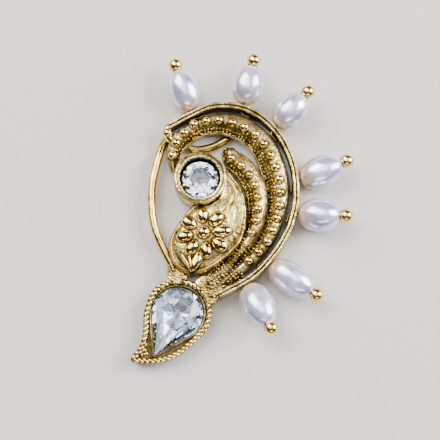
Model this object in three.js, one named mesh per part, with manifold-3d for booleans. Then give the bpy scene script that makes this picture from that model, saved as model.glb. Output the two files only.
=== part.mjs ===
// A nath: a press-on nose ring of gold-coloured cast metal, with two cut stones and seven wired pearls.
// Millimetres. The jewel lies on its back on the plane z = 0, with its face up, its pearls towards +X
// and the top of its rim towards +Y.

import * as THREE from "three";
import { ConvexGeometry } from "three/addons/geometries/ConvexGeometry.js";
import { mergeVertices } from "three/addons/utils/BufferGeometryUtils.js";
import Module from "manifold-3d";

const wasm = await Module();
wasm.setup();

// Pearls and the ball-headed pins that hold them
const PEARL_LENGTH = 6; // between its two flat ends
const PEARL_WIDTH = 4.4;
const PEARL_FLAT = 1.9; // flat end that bears on the rim
const PEARL_MOUTH = 1.4; // end under the ball, countersunk down to the bore
const MOUTH_DEPTH = 0.3;
const PEARL_BORE = 0.8;
const PIN_WIRE = 0.4;
const PIN_BALL = 1.85;
const PIN_TAIL = 1.5; // length bent over behind the rim
const HOLE_CLEARANCE = 0.1; // between a pin and its hole in the rim
const TAIL_CLEARANCE = 0.06; // either side of a pin's tail
const SEAT_GAP = 0.12; // at each end of a pearl, and between a stone and its seat
const REST_GAP = 0.02; // between the widest pearl and what the jewel lies on

// Rim: a band on edge, as a crescent
const RIM_HALF_WIDTH = 10;
const RIM_HALF_HEIGHT = 12;
const RIM_WALL = 0.8;
const RIM_ABOVE_PIN = 1.3;
const RIM_LINE_WIDTH = 0.24; // line scored along the top of the rim and of the collet
const RIM_LINE_DEPTH = 0.14;
const EDGE_ROUND = 0.1;

// Feathers: raised plates with a row of beads on the crest
const FEATHER_REACH = 1.7; // from the bead row to an edge
const FEATHER_CREST = 3.1;
const FEATHER_EDGE = 0.6; // thickness of a feather at its edges
const FEATHER_LIP = 0.3; // width of the lip along the inner edge
const CREST_THICKNESS = 0.9;
const BEAD_DIAMETER = 1.27;
const BEAD_PITCH = 1.74;
const INNER_REACH = 1.3;
const INNER_CREST = 3.3;
const INNER_BEAD_DIAMETER = 1.1;
const INNER_BEAD_PITCH = 1.62;
const BEAD_PROUD = 0.06; // how far the middle of a bead is above the crest
const JOIN_OVERLAP = 0.3; // how far one cast form runs into the next

// Paisley body with its flower
const PAISLEY_WIDTH = 10.35;
const PAISLEY_LENGTH = 14.2;
const PAISLEY_EDGE = 2.4;
const PAISLEY_CREST = 3.9;
const PAISLEY_WALL = 0.8;
const FLOWER_RADIUS = 2.35; // from its middle to the middle of a petal
const PETAL_LENGTH = 2.5;
const PETAL_WIDTH = 1.75;
const PETAL_RISE = 0.55;
const FLOWER_BEAD = 1.9;
const LEAF_LENGTH = 3;
const LEAF_WIDTH = 1;
const RIDGE_WIDTH = 0.6;

// Head: a round stone set deep in a collet
const STONE_DIAMETER = 4.8;
const COLLET_GAP = 0.27; // between the stone's girdle and the collet
const COLLET_WALL = 0.8;
const COLLET_HEIGHT = 4.6;
const STONE_DEPTH = 0.75; // from the collet's top down to the stone's table
const STONE_CROWN = 0.7;
const STONE_PAVILION = 1.6;

// Drop: a pear-shaped stone in a plate with a rope border
const PEAR_RADIUS = 3.35;
const PEAR_LENGTH = 9.75;
const PEAR_CROWN = 1.0;
const PEAR_PAVILION = 0.95;
const GIRDLE = 0.2; // height of either stone's girdle
// Reach of a stone's corners at each level, as shares of its girdle, and a level's share of the pavilion
const TABLE_SHARE = 0.56;
const CROWN_SHARE = 0.84;
const PAVILION_SHARE = 0.62;
const CULET_SHARE = 0.16;
const PAVILION_DEPTH = 0.58;
const DROP_RADIUS = 4.2; // round part of the rope's middle line
const DROP_FLOOR = 0.35;
const ROPE_WIDTH = 0.8;
const ROPE_LAY = 0.69; // from one lump of a strand to the next
const ROPE_WAIST = 0.76; // the rope's narrow way across, as a share of its wide way
const ROPE_LIFT = 0.3; // how far its middle line is above the plate, as a share of its width
const PLATE_HEIGHT = 1.5;

// Ring wire, soldered at its foot and sprung at its free end
const RING_WIRE = 1.1;
const RING_HEIGHT = 1.6; // of its middle line
const CLIP_CLEARANCE = 0.08; // above and below the free end, behind the feather

const GOLD = new THREE.MeshStandardMaterial({ color: 0xc9a45c, roughness: 0.32, metalness: 1 });
const PEARL = new THREE.MeshStandardMaterial({ color: 0xe9e4e2, roughness: 0.22, metalness: 0 });
const CRYSTAL = new THREE.MeshStandardMaterial({ color: 0xc7d2d8, roughness: 0.05, metalness: 0 });

// Each pearl: where its pin goes through the rim, as a bearing from the rim's middle, the way that the pin
// points, and how far it rises from the level, all in degrees, then length and width as shares of the named
// sizes
const PEARLS = [
  { bearing: 111.5, angle: 109.5, rise: 10, length: 0.94, width: 0.93 },
  { bearing: 77.4, angle: 76.5, rise: 12, length: 0.87, width: 0.98 },
  { bearing: 51.8, angle: 47, rise: 14, length: 0.89, width: 0.98 },
  { bearing: 8, angle: 21.5, rise: 11, length: 0.96, width: 0.98 },
  { bearing: -17.4, angle: -5, rise: 15, length: 0.92, width: 1.03 },
  { bearing: -58, angle: -35.5, rise: 10, length: 1.07, width: 0.99 },
  { bearing: -76.2, angle: -63.2, rise: 22, length: 1.02, width: 1.04 },
];
const TAIL_SPACE = PIN_WIRE + 2 * TAIL_CLEARANCE; // between the rim and the outer feather
const FEATHER_LIFT = RING_WIRE + 2 * CLIP_CLEARANCE; // the free end of the wire passes below

// Places and outlines are shares of the rim's half width and half height, from the middle of its curve
const COLLET_PLACE = [-0.316, 0.112];
const FLOWER_PLACE = [-0.273, -0.488];
const DROP_PLACE = [-0.613, -1.351];
const KNOB_PLACE = [-0.752, 0.65];

// Rim: its left end, an ellipse between two bearings, then a straighter run to the lower end
const RIM_START = [-0.756, 0.75];
const RIM_BEARINGS = { first: 120, last: -40, step: 20 };
const RIM_RUN = [
  [0.464, -0.943],
  [0.219, -1.08],
  [-0.053, -1.195],
];

// Bead row of the outer feather; outer and inner are shares of its reach, rise is its share of the crest
const OUTER_FEATHER = [
  { x: -0.678, y: 0.215, outer: 0.15, inner: 0.2, rise: 0.3 },
  { x: -0.686, y: 0.376, outer: 0.52, inner: 0.6, rise: 0.9 },
  { x: -0.633, y: 0.53, outer: 0.55, inner: 0.8, rise: 1 },
  { x: -0.404, y: 0.73, outer: 1, inner: 1, rise: 1 },
  { x: -0.077, y: 0.781, outer: 1, inner: 0.95, rise: 1 },
  { x: 0.245, y: 0.708, outer: 1, inner: 0.98, rise: 1 },
  { x: 0.509, y: 0.535, outer: 0.95, inner: 1.08, rise: 1 },
  { x: 0.673, y: 0.27, outer: 0.85, inner: 1.18, rise: 1 },
  { x: 0.747, y: -0.013, outer: 0.7, inner: 1.14, rise: 1 },
  { x: 0.703, y: -0.31, outer: 0.55, inner: 1, rise: 1 },
  { x: 0.564, y: -0.586, outer: 0.5, inner: 0.95, rise: 1 },
  { x: 0.325, y: -0.794, outer: 0.5, inner: 0.8, rise: 0.9 },
  { x: 0.02, y: -0.997, outer: 0.6, inner: 0.6, rise: 0.6 },
  { x: -0.11, y: -1.08, outer: 0.35, inner: 0.35, rise: 0.3 },
];
const OUTER_BEADS = { first: 0.05, count: 20 };

// Bead row of the inner feather; where it is joined, its outer edge runs into the outer feather
const INNER_FEATHER = [
  { x: 0.085, y: 0.49, outer: 0.4, inner: 0.5, rise: 0.3, joined: 0 },
  { x: 0.08, y: 0.435, outer: 0.95, inner: 0.9, rise: 0.8, joined: 0 },
  { x: 0.1, y: 0.352, outer: 1.2, inner: 0.9, rise: 1, joined: 0 },
  { x: 0.233, y: 0.265, outer: 1.2, inner: 1.05, rise: 1, joined: 0 },
  { x: 0.332, y: 0.166, outer: 1.2, inner: 1.1, rise: 1, joined: 0 },
  { x: 0.404, y: 0.044, outer: 1, inner: 1.1, rise: 1, joined: 1 },
  { x: 0.447, y: -0.16, outer: 1, inner: 1.05, rise: 1, joined: 1 },
  { x: 0.419, y: -0.36, outer: 1, inner: 0.95, rise: 1, joined: 1 },
  { x: 0.28, y: -0.621, outer: 1, inner: 1, rise: 0.8, joined: 1 },
  { x: 0.107, y: -0.812, outer: 1, inner: 1, rise: 0.6, joined: 1 },
  { x: -0.12, y: -0.96, outer: 0.8, inner: 0.8, rise: 0.4, joined: 0 },
  { x: -0.24, y: -1.03, outer: 0.4, inner: 0.4, rise: 0.2, joined: 0 },
];
const INNER_BEADS = { first: 0.078, count: 8 };
// Where a feather's face turns on either side of the crest, as shares of its reach and of its rise, and the
// most of the inner reach that the lip takes where a feather is narrow
const OUTER_SHOULDER = { reach: 0.5, rise: 0.7 };
const INNER_SHOULDER = { reach: 0.45, rise: 0.6 };
const LIP_LIMIT = 0.4;

// Outline of the paisley body round the flower, as shares of its width and length
const PAISLEY = [
  [0.277, 0.62],
  [0.403, 0.535],
  [0.5, 0.423],
  [0.557, 0.282],
  [0.562, 0.092],
  [0.47, -0.102],
  [0.239, -0.264],
  [0.036, -0.352],
  [-0.177, -0.38],
  [-0.351, -0.31],
  [-0.438, -0.169],
  [-0.428, -0.049],
  [-0.302, 0.12],
  [-0.129, 0.268],
  [0.016, 0.324],
  [0.171, 0.373],
  [0.248, 0.479],
];
// The dome of the paisley body: each level's share of the outline and of the rise from edge to crest
const PAISLEY_DOME = [
  { spread: 1, rise: 0 },
  { spread: 0.9, rise: 0.36 },
  { spread: 0.7, rise: 0.72 },
  { spread: 0.4, rise: 0.94 },
  { spread: 0.12, rise: 1 },
];
const PETALS = 8;
const PETAL_TURN = 4; // degrees
const LEAF_FOOT = [-0.43, -0.925];
const LEAF_ANGLES = [118, 92, 66];
const NECK_RIDGES = [
  [[0.05, 0.16], [0.13, 0.049], [0.125, -0.066], [0.047, -0.239], [0.02, -0.33]],
  [[-0.01, 0.06], [-0.02, -0.05], [-0.08, -0.14], [-0.14, -0.19]],
  [[0.16, 0.04], [0.205, -0.06], [0.24, -0.2], [0.23, -0.34], [0.16, -0.48]],
];

// Left side and tip of the rope, as shares of the drop's radius; the rest of it is round
const ROPE_ROUND = { first: 100, last: -55, step: 31 };
const ROPE_TIP = [
  [-0.14, -1.364],
  [-0.62, -1.5],
  [-0.99, -1.515],
  [-1.36, -1.46],
  [-1.18, -1.2],
  [-1.06, -0.94],
  [-0.99, -0.576],
  [-0.957, 0.064],
  [-0.676, 0.71],
  [-0.338, 0.929],
];
const PEAR_ANGLE = 241.7;

const FOOT_PLATE = [
  [-0.725, -0.82],
  [-0.64, -0.82],
  [-0.5, -0.95],
  [-0.53, -1.02],
  [-0.72, -1.02],
];
const BRIDGE_PLATE = [
  [-0.1, -0.95],
  [0.0, -1.04],
  [-0.04, -1.17],
  [-0.11, -1.25],
  [-0.19, -1.28],
  [-0.24, -1.22],
  [-0.32, -1.1],
  [-0.38, -1.02],
  [-0.3, -0.95],
];

// Ring wire from its foot to its free end; height 1 is the ring's height, 0 is low, behind the feather
const RING_ROUTE = [
  { x: -0.66, y: -0.875, height: 0.7 },
  { x: -0.693, y: -0.815, height: 0.8 },
  { x: -0.827, y: -0.6, height: 1 },
  { x: -0.927, y: -0.375, height: 1 },
  { x: -0.96, y: -0.127, height: 1 },
  { x: -0.947, y: 0.122, height: 1 },
  { x: -0.88, y: 0.359, height: 0.9 },
  { x: -0.832, y: 0.5, height: 0.5 },
  { x: -0.775, y: 0.594, height: 0.05 },
  { x: -0.695, y: 0.623, height: 0 },
  { x: -0.595, y: 0.592, height: 0 },
  { x: -0.49, y: 0.522, height: 0 },
  { x: -0.39, y: 0.488, height: 0 },
  { x: -0.16, y: 0.52, height: 0 },
  { x: -0.04, y: 0.568, height: 0 },
  { x: 0.04, y: 0.61, height: 0 },
];

const RIM_STEPS = 42;
const OUTER_STEPS = 34;
const INNER_STEPS = 20;
const ROUND_SIDES = 24;
const BEAD_SIDES = 10;
const BEAD_RINGS = 4;
const WIRE_SIDES = 6;
const RING_SIDES = 8;
const RING_STEPS = 28;
const RIDGE_STEPS = 7;
const ROPE_SIDES = 5;
const ROPE_RINGS = 2; // for each lump
const FACETS = 16;
const PAISLEY_SIDES = 30;
const PLATE_SIDES = 36;
const PEARL_SIDES = 12;
const PEARL_BANDS = 7;
const CLEAR = 1; // how far a cutting body runs out of what it cuts
const HOLE_OVERRUN = 0.4; // the same for a pin's hole, which stops short of the feather
const RIM_SAMPLES = 300; // points along the rim among which the nearest one is found
const SPOKES = 360; // the same round the paisley body
const WELD = 1e-4; // points nearer than this are one

const radians = THREE.MathUtils.degToRad;
const up = new THREE.Vector3(0, 0, 1);

function place([x, y], z = 0) {
  return new THREE.Vector3(x * RIM_HALF_WIDTH, y * RIM_HALF_HEIGHT, z);
}

function heading(degrees, length = 1) {
  return new THREE.Vector3(Math.cos(radians(degrees)) * length, Math.sin(radians(degrees)) * length, 0);
}

function rising({ angle, rise }) {
  return heading(angle, Math.cos(radians(rise))).setZ(Math.sin(radians(rise)));
}

function steps(count) {
  return Array.from({ length: count }, (_, index) => index);
}

function degreesFrom({ first, last, step }) {
  const count = Math.round(Math.abs(last - first) / step);
  return steps(count + 1).map((index) => first + ((last - first) * index) / count);
}

function smooth(points, closed = false) {
  return new THREE.CatmullRomCurve3(points, closed, "centripetal");
}

// The side of a route that faces away from the middle, where the route runs clockwise
function outward(tangent) {
  return new THREE.Vector3(-tangent.y, tangent.x, 0).normalize();
}

function nearest(points, target) {
  return Math.min(...points.map((point) => Math.hypot(point.x - target.x, point.y - target.y)));
}

// A solid from a closed geometry
function toSolid(geometry) {
  const bare = geometry.clone();
  bare.deleteAttribute("normal");
  bare.deleteAttribute("uv");
  const merged = mergeVertices(bare, WELD);
  const mesh = new wasm.Mesh({
    numProp: 3,
    vertProperties: new Float32Array(merged.attributes.position.array),
    triVerts: new Uint32Array(merged.index.array),
  });
  return new wasm.Manifold(mesh);
}

function toGeometry(solid) {
  const mesh = solid.getMesh();
  const geometry = new THREE.BufferGeometry();
  geometry.setAttribute("position", new THREE.BufferAttribute(new Float32Array(mesh.vertProperties), 3));
  geometry.setIndex(new THREE.BufferAttribute(new Uint32Array(mesh.triVerts), 1));
  geometry.computeVertexNormals();
  return geometry;
}

function join(solids) {
  return solids.reduce((all, solid) => all.add(solid));
}

// Triangles across one flat ring of points
function capFaces(ring, first) {
  const middle = ring.reduce((sum, point) => sum.add(point), new THREE.Vector3()).divideScalar(ring.length);
  const normal = new THREE.Vector3();
  ring.forEach((point, index) => {
    const next = ring[(index + 1) % ring.length];
    normal.add(point.clone().sub(middle).cross(next.clone().sub(middle)));
  });
  normal.normalize();
  const across = Math.abs(normal.z) > 0.9 ? new THREE.Vector3(1, 0, 0) : up.clone();
  const side = across.cross(normal).normalize();
  const rise = normal.clone().cross(side);
  const flat = ring.map((point) => new THREE.Vector2(point.dot(side), point.dot(rise)));
  return THREE.ShapeUtils.triangulateShape(flat, []).map((face) => face.map((corner) => corner + first));
}

// A closed body through rings of points, capped at its ends unless it runs back into itself
function loft(rings, loop = false) {
  const size = rings[0].length;
  const points = rings.flat();
  const faces = [];
  steps(loop ? rings.length : rings.length - 1).forEach((index) => {
    const near = index * size;
    const far = ((index + 1) % rings.length) * size;
    steps(size).forEach((corner) => {
      const next = (corner + 1) % size;
      faces.push([near + corner, near + next, far + next], [near + corner, far + next, far + corner]);
    });
  });
  if (!loop) {
    capFaces(rings[0], 0).forEach((face) => faces.push(face.toReversed()));
    faces.push(...capFaces(rings.at(-1), points.length - size));
  }
  const volume = faces.reduce((sum, [a, b, c]) => {
    return sum + points[a].dot(points[b].clone().cross(points[c]));
  }, 0);
  const turned = volume < 0 ? faces.map((face) => face.toReversed()) : faces;
  const geometry = new THREE.BufferGeometry().setFromPoints(points);
  geometry.setIndex(turned.flat());
  return toSolid(geometry);
}

// A round wire through points, with a flat end at each side
function wire(points, diameter, sides) {
  let side = null;
  const rings = points.map((point, index) => {
    const before = points[Math.max(index - 1, 0)];
    const after = points[Math.min(index + 1, points.length - 1)];
    const along = after.clone().sub(before).normalize();
    side = (side ?? up.clone()).addScaledVector(along, -(side ?? up).dot(along)).normalize();
    const across = along.clone().cross(side);
    return steps(sides).map((corner) => {
      const turn = (corner * 2 * Math.PI) / sides;
      return point
        .clone()
        .addScaledVector(side, (Math.cos(turn) * diameter) / 2)
        .addScaledVector(across, (Math.sin(turn) * diameter) / 2);
    });
  });
  return loft(rings);
}

// An upright plate between two heights
function plate(outline, bottom, top) {
  return loft([bottom, top].map((z) => outline.map((point) => point.clone().setZ(z))));
}

// A rounded lump: a half-sunk bead, petal or leaf, longest along its angle
function lump(middle, length, width, height, angle = 0) {
  const geometry = new THREE.SphereGeometry(0.5, BEAD_SIDES, BEAD_RINGS);
  geometry.rotateX(Math.PI / 2);
  geometry.scale(length, width, height);
  geometry.rotateZ(radians(angle));
  geometry.translate(middle.x, middle.y, middle.z);
  return toSolid(geometry);
}

// The pins leave the rim at the height that keeps each pearl just clear of what the jewel lies on
const PIN_HEIGHT =
  REST_GAP +
  Math.max(
    ...PEARLS.map((pearl) => {
      const { radius, half, flat } = pearlShape(pearl);
      const slope = Math.sin(radians(pearl.rise));
      return Math.hypot(half * slope, radius * Math.cos(radians(pearl.rise))) - (flat + SEAT_GAP) * slope;
    }),
  );
const RIM_HEIGHT = PIN_HEIGHT + RIM_ABOVE_PIN;

const rimRoute = smooth([
  place(RIM_START),
  ...degreesFrom(RIM_BEARINGS).map((angle) => place([Math.cos(radians(angle)), Math.sin(radians(angle))])),
  ...RIM_RUN.map((point) => place(point)),
]);
const rimEdge = rimRoute.getSpacedPoints(RIM_SAMPLES);

function rimBand() {
  const middle = RIM_WALL / 2;
  const top = RIM_HEIGHT;
  const section = [
    [0, 0],
    [0, top - EDGE_ROUND],
    [EDGE_ROUND, top],
    [middle - RIM_LINE_WIDTH / 2, top],
    [middle, top - RIM_LINE_DEPTH],
    [middle + RIM_LINE_WIDTH / 2, top],
    [RIM_WALL - EDGE_ROUND, top],
    [RIM_WALL, top - EDGE_ROUND],
    [RIM_WALL, 0],
  ];
  const rings = steps(RIM_STEPS + 1).map((index) => {
    const share = index / RIM_STEPS;
    const point = rimRoute.getPointAt(share);
    const side = outward(rimRoute.getTangentAt(share));
    return section.map(([depth, z]) => point.clone().addScaledVector(side, -depth).setZ(z));
  });
  return loft(rings);
}

// A feather's bead row, and along it the shares of its table
function featherRow(rows) {
  return {
    row: smooth(rows.map(({ x, y }) => place([x, y]))),
    widths: smooth(rows.map(({ outer, inner, rise }) => new THREE.Vector3(outer, inner, rise))),
  };
}

// Height of a feather's face on its bead row
function crestHeight(crest, rise) {
  const edge = FEATHER_LIFT + FEATHER_EDGE;
  return edge + (crest - edge) * rise;
}

// Stations along a feather's bead row, each with its reach to either edge
function featherStations(rows, reach, count, limit) {
  const { row, widths } = featherRow(rows);
  return steps(count + 1).map((index) => {
    const share = row.getUtoTmapping(index / count);
    const point = row.getPoint(share);
    const width = widths.getPoint(share);
    return {
      point,
      side: outward(row.getTangent(share)),
      outer: limit(point, width.x * reach, share),
      inner: width.y * reach,
      rise: width.z,
    };
  });
}

const outerStations = featherStations(OUTER_FEATHER, FEATHER_REACH, OUTER_STEPS, (point, wanted) =>
  Math.min(wanted, nearest(rimEdge, point) - RIM_WALL - TAIL_SPACE),
);
const outerFeatherEdge = outerStations.map(({ point, side, inner }) =>
  point.clone().addScaledVector(side, -inner),
);

function innerLimit(point, wanted, share) {
  const joined = INNER_FEATHER[Math.round(share * (INNER_FEATHER.length - 1))].joined;
  return joined ? nearest(outerFeatherEdge, point) + JOIN_OVERLAP : wanted;
}
const innerStations = featherStations(INNER_FEATHER, INNER_REACH, INNER_STEPS, innerLimit);

// A feather's section: its face rises from either edge to the crest, and the inner edge has a raised lip
function feather(stations, crest) {
  const edge = FEATHER_LIFT + FEATHER_EDGE;
  const rings = stations.map(({ point, side, outer, inner, rise }) => {
    const top = crestHeight(crest, rise);
    const lip = Math.min(FEATHER_LIP, inner * LIP_LIMIT);
    const section = [
      [outer, FEATHER_LIFT],
      [outer, edge],
      [outer * OUTER_SHOULDER.reach, edge + (top - edge) * OUTER_SHOULDER.rise],
      [0, top],
      [-inner * INNER_SHOULDER.reach, edge + (top - edge) * INNER_SHOULDER.rise],
      [-inner + lip, edge - FEATHER_LIP / 2],
      [-inner + lip / 2, edge + FEATHER_LIP / 2],
      [-inner, edge],
      [-inner, FEATHER_LIFT],
      [0, Math.max(top - CREST_THICKNESS, FEATHER_LIFT)],
    ];
    return section.map(([reach, z]) => point.clone().addScaledVector(side, reach).setZ(z));
  });
  return loft(rings);
}

// Beads sunk almost by half in a feather's crest
function beadRow(rows, { first, count }, pitch, diameter, crest) {
  const { row, widths } = featherRow(rows);
  const length = row.getLength();
  return steps(count).map((index) => {
    const share = row.getUtoTmapping(Math.min(first + (index * pitch) / length, 1));
    const height = crestHeight(crest, widths.getPoint(share).z) + BEAD_PROUD;
    return lump(row.getPoint(share).setZ(height), diameter, diameter, diameter);
  });
}

// The knob closes the corner between the rim's left end and the feather's tip
function knob() {
  const middle = place(KNOB_PLACE, FEATHER_CREST - BEAD_DIAMETER / 2);
  const rimEnd = rimRoute.getPointAt(0).addScaledVector(outward(rimRoute.getTangentAt(0)), -RIM_WALL / 2);
  const tip = place([OUTER_FEATHER[2].x, OUTER_FEATHER[2].y]);
  const height = FEATHER_LIFT + BEAD_DIAMETER / 2;
  return [
    lump(middle, BEAD_DIAMETER, BEAD_DIAMETER, BEAD_DIAMETER),
    wire([rimEnd.setZ(height), middle.clone().setZ(height), tip.setZ(height)], BEAD_DIAMETER, RING_SIDES),
  ];
}

const flower = place(FLOWER_PLACE);
const paisleyRoute = smooth(
  PAISLEY.map(([x, y]) => flower.clone().add(new THREE.Vector3(x * PAISLEY_WIDTH, y * PAISLEY_LENGTH, 0))),
  true,
);
const paisleyOutline = paisleyRoute.getSpacedPoints(PAISLEY_SIDES).slice(0, -1);
const paisleySpokes = paisleyRoute.getSpacedPoints(SPOKES).map((point) => point.sub(flower));

function paisleyDome(wall, bottom) {
  const rise = PAISLEY_CREST - PAISLEY_EDGE;
  const shrink = 1 - (2 * wall) / PAISLEY_WIDTH;
  const level = (spread, z) => {
    return paisleyOutline.map((point) => flower.clone().lerp(point, spread * shrink).setZ(z));
  };
  return loft([
    level(1, bottom),
    ...PAISLEY_DOME.map((row) => level(row.spread, PAISLEY_EDGE - wall + rise * row.rise)),
  ]);
}

// Height of the paisley body's face at a place: its spread is its share of the spoke that runs through it
function domeHeight(point) {
  const spoke = point.clone().setZ(0).sub(flower);
  const turns = paisleySpokes.map((other) => spoke.angleTo(other));
  const spread = spoke.length() / paisleySpokes[turns.indexOf(Math.min(...turns))].length();
  const above = PAISLEY_DOME.findIndex((row) => row.spread <= spread);
  const [low, high] = above > 0 ? [PAISLEY_DOME[above - 1], PAISLEY_DOME[above]] : PAISLEY_DOME.slice(0, 2);
  const part = (spread - low.spread) / (high.spread - low.spread);
  const rise = low.rise + (high.rise - low.rise) * part;
  return PAISLEY_EDGE + (PAISLEY_CREST - PAISLEY_EDGE) * rise;
}

function flowerHead() {
  const petals = steps(PETALS).map((index) => {
    const angle = PETAL_TURN + (index * 360) / PETALS;
    const middle = flower.clone().add(heading(angle, FLOWER_RADIUS));
    return lump(middle.setZ(domeHeight(middle)), PETAL_LENGTH, PETAL_WIDTH, 2 * PETAL_RISE, angle);
  });
  const bead = lump(flower.clone().setZ(PAISLEY_CREST), FLOWER_BEAD, FLOWER_BEAD, FLOWER_BEAD);
  return [...petals, bead];
}

function leaves() {
  return LEAF_ANGLES.map((angle) => {
    const middle = place(LEAF_FOOT).add(heading(angle, LEAF_LENGTH / 2));
    return lump(middle.setZ(domeHeight(middle)), LEAF_LENGTH, LEAF_WIDTH, LEAF_WIDTH, angle);
  });
}

function neckRidges() {
  return NECK_RIDGES.map((places) => {
    const route = smooth(places.map((point) => place(point)));
    const line = route.getSpacedPoints(RIDGE_STEPS).map((point) => point.setZ(domeHeight(point)));
    return wire(line, RIDGE_WIDTH, WIRE_SIDES);
  });
}

// Distance from a stone's middle to its girdle, at an angle from its tip; a round stone has no tip
function girdleReach(radius, tip, angle) {
  const touch = Math.acos(radius / tip);
  const turn = Math.abs(((angle + 3 * Math.PI) % (2 * Math.PI)) - Math.PI);
  return turn < touch ? radius / Math.cos(touch - turn) : radius;
}

// Corners of a stone at one level: every one round the girdle, or each second one from a first
function stoneRing(shape, share, grow, z, every = 1, first = 0) {
  return steps(FACETS / every).map((index) => {
    const turn = ((index * every + first) * 2 * Math.PI) / FACETS;
    const reach = girdleReach(shape.radius, shape.tip, turn) * share + grow;
    return heading(THREE.MathUtils.radToDeg(turn) + shape.angle, reach).setZ(z);
  });
}

// A stone's lower corners, grown by a gap where they are the hollow that it sits in
function pavilionCorners(shape, gap) {
  return [
    ...stoneRing(shape, CULET_SHARE, gap, -shape.pavilion - gap, 2),
    ...stoneRing(shape, PAVILION_SHARE, gap, -shape.pavilion * PAVILION_DEPTH - gap, 2, 1),
  ];
}

// A cut stone with its girdle's lower edge at z = 0: a table, a crown in two rows of facets, a pavilion
function cutStone(shape) {
  return new ConvexGeometry([
    ...pavilionCorners(shape, 0),
    ...stoneRing(shape, 1, 0, 0),
    ...stoneRing(shape, 1, 0, GIRDLE),
    ...stoneRing(shape, CROWN_SHARE, 0, GIRDLE + shape.crown / 2, 2, 1),
    ...stoneRing(shape, TABLE_SHARE, 0, GIRDLE + shape.crown, 2),
  ]);
}

// The hollow that a stone sits in: its lower half with a gap all round, open above
function stoneSeat(shape, gap, middle, top) {
  const geometry = new ConvexGeometry([
    ...pavilionCorners(shape, SEAT_GAP),
    ...stoneRing(shape, 1, gap, -SEAT_GAP),
    ...stoneRing(shape, 1, gap, top + CLEAR - middle.z),
  ]);
  geometry.translate(middle.x, middle.y, middle.z);
  return toSolid(geometry);
}

const stoneRadius = STONE_DIAMETER / 2;
const roundShape = {
  radius: stoneRadius,
  tip: stoneRadius,
  angle: 0,
  crown: STONE_CROWN,
  pavilion: STONE_PAVILION,
};
const roundPlace = place(COLLET_PLACE, COLLET_HEIGHT - STONE_DEPTH - STONE_CROWN - GIRDLE);
const pearShape = {
  radius: PEAR_RADIUS,
  tip: PEAR_LENGTH - PEAR_RADIUS,
  angle: PEAR_ANGLE,
  crown: PEAR_CROWN,
  pavilion: PEAR_PAVILION,
};
const pearPlace = place(DROP_PLACE, DROP_FLOOR + PEAR_PAVILION + SEAT_GAP);

function collet() {
  const inside = stoneRadius + COLLET_GAP;
  const outside = inside + COLLET_WALL;
  const middle = (inside + outside) / 2;
  const profile = [
    [0, 0],
    [outside - EDGE_ROUND, 0],
    [outside, COLLET_HEIGHT - EDGE_ROUND],
    [outside - EDGE_ROUND, COLLET_HEIGHT],
    [middle + RIM_LINE_WIDTH / 2, COLLET_HEIGHT],
    [middle, COLLET_HEIGHT - RIM_LINE_DEPTH],
    [middle - RIM_LINE_WIDTH / 2, COLLET_HEIGHT],
    [inside + EDGE_ROUND, COLLET_HEIGHT],
    [inside, COLLET_HEIGHT - EDGE_ROUND],
    [0, COLLET_HEIGHT - EDGE_ROUND],
  ];
  const geometry = new THREE.LatheGeometry(
    profile.map(([radius, z]) => new THREE.Vector2(radius, z)),
    ROUND_SIDES,
  );
  geometry.rotateX(Math.PI / 2);
  const middlePlace = place(COLLET_PLACE);
  geometry.translate(middlePlace.x, middlePlace.y, 0);
  return toSolid(geometry);
}

const dropMiddle = place(DROP_PLACE);
const ropeRoute = smooth(
  [
    ...degreesFrom(ROPE_ROUND).map((angle) => heading(angle, DROP_RADIUS)),
    ...ROPE_TIP.map(([x, y]) => new THREE.Vector3(x * DROP_RADIUS, y * DROP_RADIUS, 0)),
  ].map((point) => point.add(dropMiddle)),
  true,
);

// Two strands twisted together: an oval section that turns half round for each lump
function rope() {
  const lumps = Math.round(ropeRoute.getLength() / ROPE_LAY / 2) * 2;
  const count = lumps * ROPE_RINGS;
  const rings = steps(count).map((index) => {
    const point = ropeRoute.getPointAt(index / count).setZ(PLATE_HEIGHT + ROPE_WIDTH * ROPE_LIFT);
    const side = outward(ropeRoute.getTangentAt(index / count));
    const twist = (index * Math.PI) / ROPE_RINGS;
    return steps(ROPE_SIDES).map((corner) => {
      const turn = (corner * 2 * Math.PI) / ROPE_SIDES;
      const oval = ROPE_WAIST + (1 - ROPE_WAIST) * Math.abs(Math.cos(turn - twist));
      const reach = (ROPE_WIDTH / 2) * oval;
      return point
        .clone()
        .addScaledVector(side, Math.cos(turn) * reach)
        .addScaledVector(up, Math.sin(turn) * reach);
    });
  });
  return loft(rings, true);
}

function dropPlate() {
  return plate(ropeRoute.getSpacedPoints(PLATE_SIDES).slice(0, -1), 0, PLATE_HEIGHT);
}

function ringWire() {
  const low = RING_WIRE / 2 + CLIP_CLEARANCE / 2;
  const route = smooth(
    RING_ROUTE.map(({ x, y, height }) => place([x, y], low + (RING_HEIGHT - low) * height)),
  );
  return wire(route.getSpacedPoints(RING_STEPS), RING_WIRE, RING_SIDES);
}

// The egg that a pearl is ground from: its half length and radius, and how far each flat lies from its middle
function pearlShape(pearl) {
  const radius = (PEARL_WIDTH * pearl.width) / 2;
  const flatShare = Math.cos(Math.asin(PEARL_FLAT / 2 / radius));
  const mouthShare = Math.cos(Math.asin(PEARL_MOUTH / 2 / radius));
  const half = (PEARL_LENGTH * pearl.length) / (flatShare + mouthShare);
  return { radius, half, flat: half * flatShare, mouth: half * mouthShare };
}

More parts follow.
